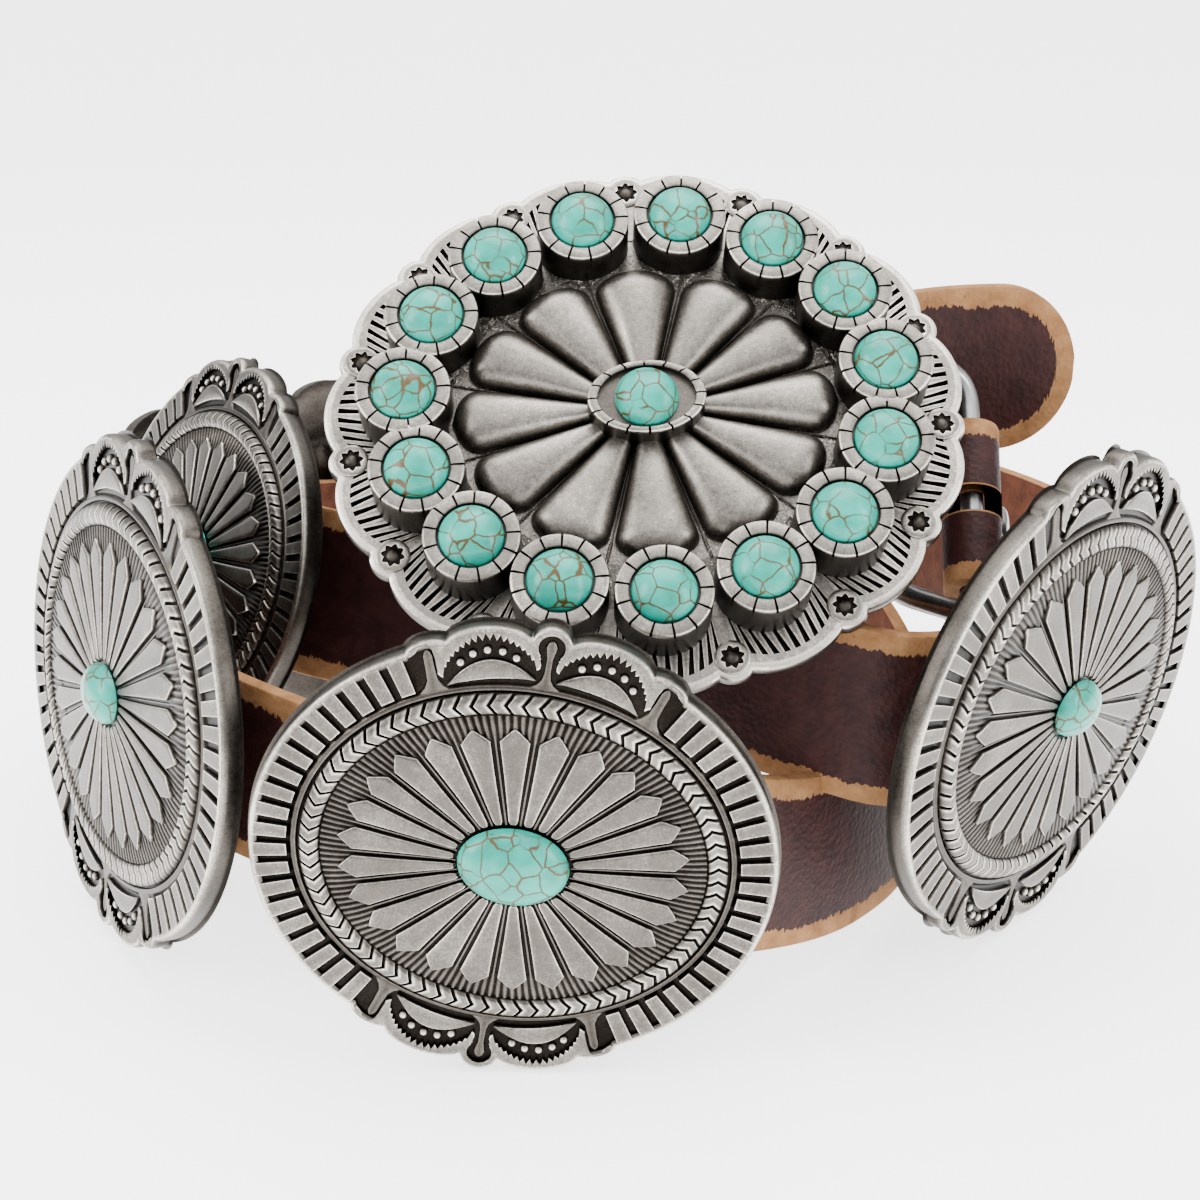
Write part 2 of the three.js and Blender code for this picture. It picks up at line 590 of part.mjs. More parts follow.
function rivetGeometry() {
  const head = RIVET_GRIP / 2 + RIVET_HEAD;
  const disc = (radius, height) => ring(evenTurns(12), (angle) => [
    radius * Math.cos(angle), radius * Math.sin(angle), height,
  ]);
  return closedRings([
    [{ turn: 0, point: [0, 0, head] }],
    disc(RIVET_HEAD_RADIUS, head),
    disc(RIVET_HEAD_RADIUS, RIVET_GRIP / 2),
    disc(RIVET_RADIUS, RIVET_GRIP / 2),
    disc(RIVET_RADIUS, -RIVET_GRIP / 2),
    disc(RIVET_HEAD_RADIUS, -RIVET_GRIP / 2),
    disc(RIVET_HEAD_RADIUS, -head),
    [{ turn: 0, point: [0, 0, -head] }],
  ]);
}

function strapGeometry() {
  let solid = solidOf(loft(strapSections()));
  const slot = new THREE.BoxGeometry(2 * FOLD_SLOT_DEPTH, FOLD_SLOT_WIDTH, 2 * FOLD_RADIUS + 2 * STRAP_THICKNESS);
  slot.applyMatrix4(foldFrame);
  solid = solid.subtract(solidOf(slot));
  for (const side of [-1, 1]) {
    const hole = new THREE.CylinderGeometry(RIVET_RADIUS + FIT_GAP, RIVET_RADIUS + FIT_GAP, 2 * RIVET_GRIP, 12);
    hole.rotateX(Math.PI / 2);
    hole.translate(...rivetPlace(side));
    hole.applyMatrix4(foldFrame);
    solid = solid.subtract(solidOf(hole));
  }
  return geometryOfSolid(solid);
}

// Bail: a round wire bent to a closed loop with rounded corners, in the buckle's frame

function bailGeometry() {
  const halfLength = STRAP_WIDTH / 2 - STRAP_ON_BAR + BAIL_SIDE_ROOM + WIRE_RADIUS;
  const corner = BAIL_CORNER;
  const path = new THREE.Path();
  path.moveTo(0, -halfLength + corner);
  path.lineTo(0, halfLength - corner);
  path.quadraticCurveTo(0, halfLength, corner, halfLength);
  path.lineTo(BAIL_REACH - corner, halfLength);
  path.quadraticCurveTo(BAIL_REACH, halfLength, BAIL_REACH, halfLength - corner);
  path.lineTo(BAIL_REACH, -halfLength + corner);
  path.quadraticCurveTo(BAIL_REACH, -halfLength, BAIL_REACH - corner, -halfLength);
  path.lineTo(corner, -halfLength);
  path.quadraticCurveTo(0, -halfLength, 0, -halfLength + corner);
  const flat = path.getPoints(4);
  if (flat[0].distanceTo(flat[flat.length - 1]) < 1e-6) {
    flat.pop();
  }
  const sides = WIRE_SIDES;
  const rows = flat.map((point, index) => {
    const before = flat[(index + flat.length - 1) % flat.length];
    const after = flat[(index + 1) % flat.length];
    const normal = new THREE.Vector2(after.y - before.y, before.x - after.x).normalize();
    return evenTurns(sides).map((turn) => {
      const angle = turn * 2 * Math.PI;
      return [
        point.x + normal.x * WIRE_RADIUS * Math.cos(angle),
        point.y + normal.y * WIRE_RADIUS * Math.cos(angle),
        WIRE_RADIUS * Math.sin(angle),
      ];
    });
  });
  const faces = [];
  for (let r = 0; r < rows.length; r += 1) {
    const next = (r + 1) % rows.length;
    for (let s = 0; s < sides; s += 1) {
      const t = (s + 1) % sides;
      faces.push([r * sides + s, next * sides + t, r * sides + t], [r * sides + s, next * sides + s, next * sides + t]);
    }
  }
  return geometryOf(rows.flat(), faces);
}

// Assembly

const belt = new THREE.Group();
const coil = new THREE.Group();
belt.add(coil);

coil.add(namedMesh('strap', strapGeometry(), LEATHER));

const fold = new THREE.Group();
fold.applyMatrix4(foldFrame);
[-1, 1].forEach((side, index) => {
  const rivet = namedMesh(`fold_rivet_${index + 1}`, rivetGeometry(), WIRE);
  rivet.position.copy(rivetPlace(side));
  fold.add(rivet);
});
coil.add(fold);

const conchoShapes = new Map([
  [LARGE, conchoGeometry(LARGE)],
  [SMALL, conchoGeometry(SMALL)],
]);

ROUTE.forEach((row, index) => {
  if (!row.concho) {
    return;
  }
  const { origin, along, across, out } = strapFrame((index + FIRST_ROW) / (routePoints.length - 1));
  const concho = new THREE.Group();
  concho.applyMatrix4(new THREE.Matrix4().makeBasis(along, across, out).setPosition(origin));
  concho.add(namedMesh(`concho_${row.concho}`, conchoShapes.get(row.size), SILVER));
  const { stoneX, stoneY, stoneRise } = row.size;
  concho.add(namedMesh(`concho_stone_${row.concho}`, cabochon(stoneX, stoneY, stoneRise, STONE_SIDES), TURQUOISE));
  concho.children[0].position.z = CONCHO_STAND;
  concho.children[1].position.z = CONCHO_STAND + CONCHO_DOME + PETAL_RELIEF - STONE_SINK + FIT_GAP;
  coil.add(concho);
});

const buckle = new THREE.Group();
buckle.applyMatrix4(buckleFrame);
buckle.add(namedMesh('buckle', buckleGeometry(), SILVER));
for (let index = 0; index < STONE_COUNT; index += 1) {
  const angle = bezelAngle(index);
  const stone = namedMesh(`buckle_stone_${String(index + 1).padStart(2, '0')}`,
    cabochon(ROUND_STONE_RADIUS, ROUND_STONE_RADIUS, ROUND_STONE_RISE, STONE_SIDES), TURQUOISE);
  stone.position.set(RING_X * Math.cos(angle), RING_Y * Math.sin(angle), BEZEL_HEIGHT - BEZEL_SEAT_DEPTH + FIT_GAP);
  buckle.add(stone);
}
const centreStone = namedMesh('buckle_centre_stone',
  cabochon(ROUND_STONE_RADIUS, ROUND_STONE_RADIUS, ROUND_STONE_RISE, STONE_SIDES), TURQUOISE);
centreStone.position.z = CENTRE_BEZEL_RISE - BEZEL_SEAT_DEPTH + FIT_GAP;
buckle.add(centreStone);
const bail = namedMesh('bail', bailGeometry(), WIRE);
bail.applyMatrix4(bailFrame);
coil.add(buckle, bail);

// The origin is the middle of the ground the belt stands on
const box = new THREE.Box3().setFromObject(coil, true);
const middle = box.getCenter(new THREE.Vector3());
coil.position.set(-middle.x, -middle.y, -box.min.z);

export default belt;
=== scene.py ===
"""Looks of a concho belt: a leather strap coiled on its edge, six cast conchos with turquoise
stones, and a large stone-set buckle that leans back on the coil. Lengths here are millimetres
in the layout's frame; to_row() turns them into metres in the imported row's frame."""
import math

import bpy
import numpy as np
from mathutils import Matrix, Vector


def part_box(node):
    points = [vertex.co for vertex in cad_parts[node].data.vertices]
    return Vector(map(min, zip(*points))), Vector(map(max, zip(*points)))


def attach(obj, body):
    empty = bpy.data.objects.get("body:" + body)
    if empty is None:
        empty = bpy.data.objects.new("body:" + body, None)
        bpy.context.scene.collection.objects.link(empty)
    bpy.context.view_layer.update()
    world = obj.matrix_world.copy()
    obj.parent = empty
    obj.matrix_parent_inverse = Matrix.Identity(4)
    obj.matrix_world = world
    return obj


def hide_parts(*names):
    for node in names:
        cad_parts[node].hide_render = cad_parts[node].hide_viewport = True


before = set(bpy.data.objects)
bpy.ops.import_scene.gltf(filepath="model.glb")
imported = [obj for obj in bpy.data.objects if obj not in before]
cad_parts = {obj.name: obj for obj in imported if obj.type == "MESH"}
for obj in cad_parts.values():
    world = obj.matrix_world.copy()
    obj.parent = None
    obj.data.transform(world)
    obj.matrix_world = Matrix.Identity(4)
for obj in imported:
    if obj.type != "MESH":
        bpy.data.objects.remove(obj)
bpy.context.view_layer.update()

MM = 0.001

# Strap, as in the solids
STRAP_WIDTH = 32
STRAP_THICKNESS = 3
TIP_LENGTH = 15
FLAP_LENGTH = 30
FOLD_STRAIGHT = 30
FLAP_CLOSES_FROM = 4
FLAP_CLOSED_AT = 18
FOLD_SLOT_WIDTH = 5
FOLD_SLOT_DEPTH = 9
FIT_GAP = 0.3
SEAT_GAP = 0.6
LOOP_SLACK = 1.2

# Conchos, as in the solids
LARGE = {"half_width": 51.5, "half_height": 48, "stone_x": 7.2, "stone_y": 5.4, "stone_rise": 3.6}
SMALL = {"half_width": 43.2, "half_height": 40.5, "stone_x": 9, "stone_y": 6.6, "stone_rise": 4.2}
CONCHO_DOME = 2.4
CONCHO_WALL = 2.2
CONCHO_RIM = 2.8
PETAL_COUNT = 26
PETAL_RELIEF = 0.9
STONE_SINK = 0.6
ROPE_RELIEF = 1.0
LOOP_BAR_WIDTH = 8
LOOP_BAR_THICKNESS = 2
LOOP_POST_RADIUS = 1.5
LOOP_POST_SPREAD = 5.6
COIL_WIDTH = 200
COIL_DEPTH = 200
BASE_HEIGHT_SHARE = 0.93
LOBES = [(0, 4.2, 0.075), (13.2, 9.2, 0.06), (-13.2, 9.2, 0.06), (26.6, 4.6, 0.03), (-26.6, 4.6, 0.03)]
CONCHO_STAND = STRAP_THICKNESS / 2 + SEAT_GAP + CONCHO_RIM

# Buckle, as in the solids
BUCKLE_HALF_WIDTH = 56.5
BUCKLE_HALF_HEIGHT = 51.1
BUCKLE_RIM = 2.4
BUCKLE_PLACE = Vector((8, -9.7, 99.8))
BUCKLE_LEAN = 42
BUCKLE_ROLL = 4
STONE_COUNT = 15
ROUND_STONE_RADIUS = 5.5
ROUND_STONE_RISE = 3.8
BEZEL_RADIUS = 8.2
BEZEL_HEIGHT = 9.4
BEZEL_SEAT_DEPTH = 1.2
BEZEL_EDGE_MARGIN = 6.6
BUCKLE_PETALS = 12
BUCKLE_PETAL_RELIEF = 4
BUCKLE_FIELD_RISE = 2.2
CENTRE_BEZEL_X = 10.2
CENTRE_BEZEL_Y = 7
CENTRE_BEZEL_RISE = 8.6
PRONG_RADIUS = 1.6
PRONG_REACH = 7
PRONG_INSET = 20

# Bail and fold, as in the solids
WIRE_RADIUS = 2
BAIL_REACH = 21
BAIL_HINGE_INSET = 15.5
BAIL_SLIDE = -9
BAIL_SWING = 32
HINGE_TILT = -7
BAIL_SIDE_ROOM = 3
EAR_WIDTH = 5
EAR_WALL = 1.6
EAR_SPREAD = 20
FOLD_TURN = 12
STRAP_ON_BAR = -3
RIVET_RADIUS = 1.6
RIVET_HEAD_RADIUS = 4
RIVET_HEAD = 1.2
RIVET_SPREAD = 13
RIVET_FROM_BAR = 23

# The strap's way through the coil: shares of the coil's width and depth, the height as a share of
# the named concho's half height, the lean of the upper edge inwards in degrees, and the concho
ROUTE = [
    (0.395, 0.25, LARGE, 1.135, 0, None),
    (0.35, 0.42, LARGE, 1.021, 0, None),
    (0.22, 0.55, SMALL, 1.086, 0, None),
    (0.04, 0.61, SMALL, 1.025, 0, None),
    (-0.13, 0.56, SMALL, 1.012, 0, None),
    (-0.2925, 0.45, SMALL, 1.077, 0, SMALL),
    (-0.395, 0.335, SMALL, 1.235, 6, None),
    (-0.4175, 0.2275, SMALL, 1.444, 19, None),
    (-0.3775, 0.1275, SMALL, 1.531, 19, SMALL),
    (-0.2675, 0.0375, LARGE, 1.281, 19, None),
    (-0.1, -0.035, LARGE, 1.25, 6, None),
    (0.06, -0.095, LARGE, 1.219, 0, None),
    (0.165, -0.1375, LARGE, 1.156, 0, None),
    (0.25, -0.1625, LARGE, 1.094, 0, None),
    (0.3325, -0.1325, LARGE, 1.073, -4, None),
    (0.4025, -0.053, LARGE, 1.008, -6, LARGE),
    (0.4775, 0.03, LARGE, 0.938, -4, None),
    (0.55, 0.19, LARGE, 0.875, 0, None),
    (0.54, 0.41, LARGE, 0.875, 0, None),
    (0.44, 0.59, LARGE, 0.875, 0, None),
    (0.27, 0.71, SMALL, 1.037, 0, None),
    (0.06, 0.765, SMALL, 1.012, 0, None),
    (-0.15, 0.74, SMALL, 1.002, 0, None),
    (-0.32, 0.5875, SMALL, 1.002, 0, None),
    (-0.459, 0.4025, SMALL, 1.002, 0, SMALL),
    (-0.555, 0.27, LARGE, 0.875, 2, None),
    (-0.55, 0.16, LARGE, 0.938, 5, None),
    (-0.479, 0.048, LARGE, 1.006, 8, None),
    (-0.42, -0.045, LARGE, 1.004, 8, LARGE),
    (-0.36, -0.138, LARGE, 0.975, 7, None),
    (-0.19, -0.25, SMALL, 1.074, 2, None),
    (-0.0685, -0.275, SMALL, 1, 0, SMALL),
    (0.06, -0.25, SMALL, 0.852, 0, None),
    (0.155, -0.1825, SMALL, 0.667, 0, None),
    (0.235, -0.1, SMALL, 0.556, 0, None),
    (0.3, 0.01, SMALL, 0.543, 0, None),
    (0.31, 0.17, SMALL, 0.691, 0, None),
    (0.22, 0.33, LARGE, 0.875, 0, None),
    (0.05, 0.38, LARGE, 1.188, 0, None),
    (-0.11, 0.32, LARGE, 1.5, 0, None),
    (-0.16, 0.19, LARGE, 1.75, 0, None),
    (-0.08, 0.07, LARGE, 1.927, 0, None),
    (0.07, 0.04, LARGE, 2.01, 0, None),
    (0.22, 0.075, LARGE, 2.073, 0, None),
    (0.335, 0.1175, LARGE, 2.104, 0, None),
    (0.455, 0.13, LARGE, 2.104, 0, None),
]

UP = Vector((0, 0, 1))


# Frames of the buckle, its hinge, the bail and the strap's fold

def turned(axis, degrees):
    return Matrix.Rotation(math.radians(degrees), 4, axis)


def direction(matrix, vector):
    return (matrix.to_3x3() @ Vector(vector)).normalized()


HINGE_X = BUCKLE_HALF_WIDTH - BAIL_HINGE_INSET
HINGE_Z = -BUCKLE_RIM - FIT_GAP - WIRE_RADIUS
RING_X = BUCKLE_HALF_WIDTH - BEZEL_RADIUS - BEZEL_EDGE_MARGIN
RING_Y = BUCKLE_HALF_HEIGHT - BEZEL_RADIUS - BEZEL_EDGE_MARGIN
BUCKLE_FRAME = Matrix.Translation(BUCKLE_PLACE) @ turned("X", 90 - BUCKLE_LEAN) @ turned("Z", BUCKLE_ROLL)
HINGE_FRAME = Matrix.Translation((HINGE_X, BAIL_SLIDE, HINGE_Z)) @ turned("Z", HINGE_TILT)
BAIL_FRAME = BUCKLE_FRAME @ HINGE_FRAME @ turned("Y", BAIL_SWING)
BAR_CENTRE = BAIL_FRAME @ Vector((BAIL_REACH, STRAP_ON_BAR, 0))
BAR_AXIS = direction(BAIL_FRAME, (0, 1, 0))
FOLD_AHEAD = direction(BUCKLE_FRAME @ HINGE_FRAME,
                       (math.sin(math.radians(FOLD_TURN)), 0, -math.cos(math.radians(FOLD_TURN))))
FOLD_OUT = FOLD_AHEAD.cross(BAR_AXIS)
FOLD_RADIUS = WIRE_RADIUS + FIT_GAP + STRAP_THICKNESS / 2
LAYER_PITCH = STRAP_THICKNESS + FIT_GAP
FOLD_FRAME = Matrix.Translation(BAR_CENTRE) @ Matrix((FOLD_AHEAD, BAR_AXIS, FOLD_OUT)).transposed().to_4x4()


# The route as a centripetal curve through its points

def route_points():
    start = BAR_CENTRE + FOLD_OUT * FOLD_RADIUS
    straight = [start + FOLD_AHEAD * (share * FOLD_STRAIGHT) for share in (0, 0.4, 0.8, 1)]
    rows = [Vector((x * COIL_WIDTH, y * COIL_DEPTH, rise * over["half_height"]))
            for x, y, over, rise, _, _ in ROUTE]
    return straight + rows


POINTS = route_points()
FIRST_ROW = len(POINTS) - len(ROUTE)
SPANS = len(POINTS) - 1


def curve_point(place):
    """The curve at a place counted in points, from 0 to SPANS."""
    low = min(int(math.floor(place)), SPANS - 1)
    part = place - low
    p1 = POINTS[low]
    p2 = POINTS[low + 1]
    p0 = POINTS[low - 1] if low > 0 else p1 * 2 - p2
    p3 = POINTS[low + 2] if low + 2 <= SPANS else p2 * 2 - p1
    d0 = math.sqrt((p1 - p0).length)
    d1 = math.sqrt((p2 - p1).length)
    d2 = math.sqrt((p3 - p2).length)
    start = ((p1 - p0) / d0 - (p2 - p0) / (d0 + d1) + (p2 - p1) / d1) * d1
    end = ((p2 - p1) / d1 - (p3 - p1) / (d1 + d2) + (p3 - p2) / d2) * d1
    square = part * part
    cube = square * part
    return (p1 * (2 * cube - 3 * square + 1) + start * (cube - 2 * square + part)
            + p2 * (3 * square - 2 * cube) + end * (cube - square))


def strap_frame(place):
    """Origin, along, across and out of the strap at a place counted in points."""
    row = place - FIRST_ROW
    low = min(max(int(math.floor(row)), 0), len(ROUTE) - 1)
    high = min(low + 1, len(ROUTE) - 1)
    part = min(max(row - low, 0), 1)
    lean = math.radians(ROUTE[low][4] * (1 - part) + ROUTE[high][4] * part)
    nudge = 0.0001 * SPANS
    before = curve_point(max(place - nudge, 0))
    after = curve_point(min(place + nudge, SPANS))
    along = (after - before).normalized()
    flat = along.cross(UP).normalized()
    level = flat.cross(along)
    across = level * math.cos(lean) - flat * math.sin(lean)
    from_fold = min(max((row + 1) / 2, 0), 1)
    ease = from_fold * from_fold * (3 - 2 * from_fold)
    across = across * ease + BAR_AXIS * (1 - ease)
    across = (across - along * across.dot(along)).normalized()
    return curve_point(place), along, across, along.cross(across)


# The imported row's origin, from the lowest corner of the strap in both frames

def shift_to_row():
    half = STRAP_WIDTH / 2
    low = Vector((1e9, 1e9, 1e9))
    steps = SPANS * 3
    for k in range(FIRST_ROW * 3, steps - 3):
        origin, _, across, out = strap_frame(k / 3)
        for w in (-half, half):
            for t in (-STRAP_THICKNESS / 2, STRAP_THICKNESS / 2):
                low = Vector(map(min, low, origin + across * w + out * t))
    corner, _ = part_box("strap")
    return Vector(corner) / MM - low


SHIFT = shift_to_row()
TO_ROW = Matrix.Scale(MM, 4) @ Matrix.Translation(SHIFT)


# Meshes from grids

def smooth_step(low, high, value):
    part = np.clip((value - low) / (high - low), 0, 1)
    return part * part * (3 - 2 * part)


SHARP_ANGLE = 42


class Surface:
    """Collects vertices and faces of one piece, with float attributes on its vertices."""

    def __init__(self, *attributes):
        self.names = attributes
        self.points = []
        self.values = {name: [] for name in attributes}
        self.faces = []
        self.count = 0

    def add_grid(self, grid, closed=True, flip=False, **values):
        """grid has shape rows x columns x 3; closed joins the last column to the first."""
        rows, columns = grid.shape[:2]
        index = self.count + np.arange(rows * columns).reshape(rows, columns)
        right = np.roll(index, -1, axis=1)
        if not closed:
            index = index[:, :-1]
            right = right[:, :-1]
        quads = np.stack([index[:-1], right[:-1], right[1:], index[1:]], axis=-1).reshape(-1, 4)
        if flip:
            quads = quads[:, ::-1]
        for name in self.names:
            value = np.broadcast_to(values.get(name, 0), (rows, columns))
            self.values[name].append(value.reshape(-1))
        self.points.append(grid.reshape(-1, 3))
        self.faces.extend(quads.tolist())
        self.count += rows * columns

    def add_rows(self, rows, closed=True, flip=True):
        """Each row is x, y, z and the attributes in order, as numbers or as arrays along the row."""
        grid = np.array([np.stack(np.broadcast_arrays(*row), axis=-1) for row in rows], dtype=float)
        values = {name: grid[..., 3 + k] for k, name in enumerate(self.names) if 3 + k < grid.shape[-1]}
        self.add_grid(grid[..., :3], closed, flip, **values)

    def add_rings(self, turns, rings, centre=(0, 0), flip=True):
        """Each ring is its half axes in x and y, its height and the attributes in order."""
        cos, sin = np.cos(turns), np.sin(turns)
        rows = [(centre[0] + x * cos, centre[1] + y * sin, *rest) for x, y, *rest in rings]
        self.add_rows(rows, True, flip)

    def mesh(self, name):
        points = np.concatenate(self.points)
        mesh = bpy.data.meshes.new(name)
        mesh.from_pydata(points.tolist(), [], self.faces)
        for attribute in self.names:
            layer = mesh.attributes.new(attribute, "FLOAT", "POINT")
            layer.data.foreach_set("value", np.concatenate(self.values[attribute]).astype(np.float32))
        mesh.polygons.foreach_set("use_smooth", [True] * len(mesh.polygons))
        mesh.update()
        mesh.set_sharp_from_angle(angle=math.radians(SHARP_ANGLE))
        return mesh


def place_piece(name, mesh, matrix, materials, node):
    """Adds a piece with its place in its vertices, riding on the one body and hiding its solid."""
    placed = mesh.copy()
    placed.name = name
    placed.transform(TO_ROW @ matrix)
    piece = bpy.data.objects.new(name, placed)
    for material in materials:
        placed.materials.append(material)
    bpy.context.scene.collection.objects.link(piece)
    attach(piece, "root")
    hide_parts(node)
    return piece


# Tones of the materials as ramps of place and colour. Noises are scale per metre (per mm for the
# paint's two), detail, roughness and distortion, as far as they are given.

# The silver ramp runs from dark patina to bright rubbed metal; its bright end also serves as painted
# highlights on edges, and its middle tones as painted shade on the flanks of the relief.
SILVER_TONES = (
    (0.0, (0.007, 0.0055, 0.0045)), (0.2, (0.017, 0.0142, 0.012)), (0.42, (0.058, 0.051, 0.044)),
    (0.62, (0.108, 0.097, 0.085)), (0.82, (0.25, 0.229, 0.202)), (1.0, (0.66, 0.61, 0.54)),
)
SILVER_CLOUD = (95, 5, 0.6)
SILVER_MOTTLE = (1100, 4, 0.7)
SILVER_SPECK = (3000, 2, 0.75)
SILVER_WORM = (620, 1, 0.5, 2.4)
WIRE_TONES = ((0.25, (0.22, 0.22, 0.22)), (0.75, (0.40, 0.40, 0.395)))
STONE_TONES = ((0.25, (0.002, 0.20, 0.145)), (0.5, (0.005, 0.31, 0.235)), (0.75, (0.022, 0.40, 0.31)))
VEIN_COLOUR = (0.075, 0.043, 0.010)
VEIN_SCALE = 260
VEIN_WANDER = 0.0017
PAINT_TONES = ((0.3, (0.017, 0.0042, 0.0038)), (0.75, (0.038, 0.0105, 0.0092)))
TAN_TONES = ((0.25, (0.19, 0.085, 0.032)), (0.7, (0.34, 0.175, 0.075)))
FLESH_TONES = ((0.25, (0.065, 0.020, 0.011)), (0.75, (0.13, 0.044, 0.023)))
DOT_COLOUR = (0.07, 0.03, 0.02)
PAINT_BRISTLE = (1.1, 4, 0.7)
PAINT_WAVE = (0.09, 2)
PAINT_INSET = 0.9
LEATHER_SPECK = (1500, 3, 0.65)
PORE_SCALE = 900
CUT_TONES = ((0.3, (0.045, 0.022, 0.010)), (0.7, (0.26, 0.14, 0.06)))
CUT_FIBRE = (1300, 5, 0.7)


def add_ramp(tree, value, stops):
    """A colour ramp; the stops are in order."""
    node = tree.nodes.new("ShaderNodeValToRGB")
    elements = node.color_ramp.elements
    for element, (position, colour) in ((elements[0], stops[0]), (elements[1], stops[-1])):
        element.position = position
        element.color = (*colour, 1)
    for position, colour in stops[1:-1]:
        elements.new(position).color = (*colour, 1)
    tree.links.new(value, node.inputs["Fac"])
    return node.outputs["Color"]


class Shader:
    """One material, with short ways to add the nodes that the looks need."""

    def __init__(self, name):
        self.material = bpy.data.materials.new(name)
        self.material.use_nodes = True
        self.tree = self.material.node_tree
        self.bsdf = self.tree.nodes["Principled BSDF"]

    def put(self, socket, value):
        """Links an output to the socket, or sets a number or colour on it."""
        if isinstance(value, bpy.types.NodeSocket):
            self.tree.links.new(value, socket)
        elif socket.type == "RGBA":
            socket.default_value = (*value, 1)
        else:
            socket.default_value = value

    def node(self, kind, **inputs):
        node = self.tree.nodes.new("ShaderNode" + kind)
        for name, value in inputs.items():
            self.put(node.inputs[name], value)
        return node

    def position(self):
        return self.node("NewGeometry").outputs["Position"]

    def attribute(self, name):
        node = self.node("Attribute")
        node.attribute_name = name
        return node.outputs["Fac"]

    def noise(self, vector, scale, detail=4, roughness=0.55, distortion=0, output="Fac"):
        node = self.node("TexNoise", Vector=vector, Scale=scale, Detail=detail, Roughness=roughness,
                         Distortion=distortion)
        return node.outputs[output]

    def ramp(self, value, stops):
        return add_ramp(self.tree, value, stops)

    def math(self, operation, *values):
        node = self.node("Math")
        node.operation = operation
        for socket, value in zip(node.inputs, values):
            self.put(socket, value)
        return node.outputs["Value"]

    def minus(self, first, second):
        return self.math("SUBTRACT", first, second)

    def times(self, first, second):
        return self.math("MULTIPLY", first, second)

    def scaled(self, value, gain, offset):
        """value times gain, plus offset."""
        return self.math("MULTIPLY_ADD", value, gain, offset)

    def mix(self, factor, first, second):
        node = self.node("Mix")
        node.data_type = "RGBA"
        for name, value in (("Factor", factor), ("A", first), ("B", second)):
            self.put(node.inputs[name], value)
        return node.outputs["Result"]

    def bump(self, height, strength, distance):
        node = self.node("Bump", Strength=strength, Distance=distance, Height=height)
        self.put(self.bsdf.inputs["Normal"], node.outputs["Normal"])

    def finished(self, inputs):
        """Fills the surface's own inputs and gives the material."""
        for name, value in inputs.items():
            self.put(self.bsdf.inputs[name], value)
        return self.material


def silver_material():
    """Antique silver: the wear channel is 0 in the patinated recesses and 1 on the rubbed edges, where it
    also paints highlights; on rounded relief its lower values paint shade; grain adds a wormy ground.
    """
    shader = Shader("antique_silver")
    position = shader.position()
    cloud = shader.noise(position, *SILVER_CLOUD)
    mottle = shader.noise(position, *SILVER_MOTTLE)
    speck = shader.noise(position, *SILVER_SPECK)
    ridges = shader.math("ABSOLUTE", shader.minus(shader.noise(position, *SILVER_WORM), 0.5))
    lines = shader.math("MAXIMUM", shader.minus(1.0, shader.times(ridges, 26)), 0.0)
    grained = shader.times(lines, shader.attribute("grain"))
    # Wear and painted light: patina and rubbed metal, with painted highlights on edges and painted shade on
    # rounded flanks.
    tone = shader.scaled(grained, 0.5, shader.attribute("worn"))
    for noise, gain in ((cloud, 0.4), (mottle, 0.3), (speck, 0.36)):
        tone = shader.scaled(noise, gain, shader.minus(tone, gain / 2))
    shader.bump(shader.scaled(speck, 0.3, shader.times(grained, 1.2)), 0.6, 0.00018)
    return shader.finished({"Base Color": shader.ramp(tone, SILVER_TONES), "Metallic": 1.0,
                            "Roughness": shader.scaled(mottle, 0.22, 0.27)})


def wire_material():
    shader = Shader("silver_wire")
    cloud = shader.noise(shader.position(), 300)
    return shader.finished({"Base Color": shader.ramp(cloud, WIRE_TONES), "Metallic": 1.0, "Roughness": 0.3})


def turquoise_material():
    """Green-blue stone with a net of brown veins that fades in and out."""
    shader = Shader("turquoise")
    position = shader.position()
    wander = shader.noise(position, VEIN_SCALE, 2, 0.5, output="Color")
    moved = shader.node("VectorMath")
    moved.operation = "MULTIPLY_ADD"
    for socket, value in zip(moved.inputs, (wander, (VEIN_WANDER,) * 3, position)):
        shader.put(socket, value)
    cells = shader.node("TexVoronoi", Scale=VEIN_SCALE, Vector=moved.outputs["Vector"])
    cells.feature = "DISTANCE_TO_EDGE"
    patches = shader.times(shader.minus(shader.noise(position, 150, 2), 0.30), 6.0)
    clipped = shader.math("MINIMUM", shader.math("MAXIMUM", patches, 0.0), 1.0)
    near = shader.minus(1.0, shader.times(cells.outputs["Distance"], 21))
    crack = shader.times(shader.math("MAXIMUM", near, 0.0), clipped)
    vein = shader.math("MINIMUM", shader.times(crack, 1.7), 1.0)
    body = shader.ramp(shader.noise(position, 190, 3), STONE_TONES)
    shader.bump(vein, 0.25, -0.00012)
    return shader.finished({"Base Color": shader.mix(vein, body, VEIN_COLOUR), "Roughness": 0.28,
                            "Specular IOR Level": 0.3, "Coat Weight": 0.1, "Coat Roughness": 0.1,
                            "Subsurface Weight": 0.06, "Subsurface Scale": 0.002})


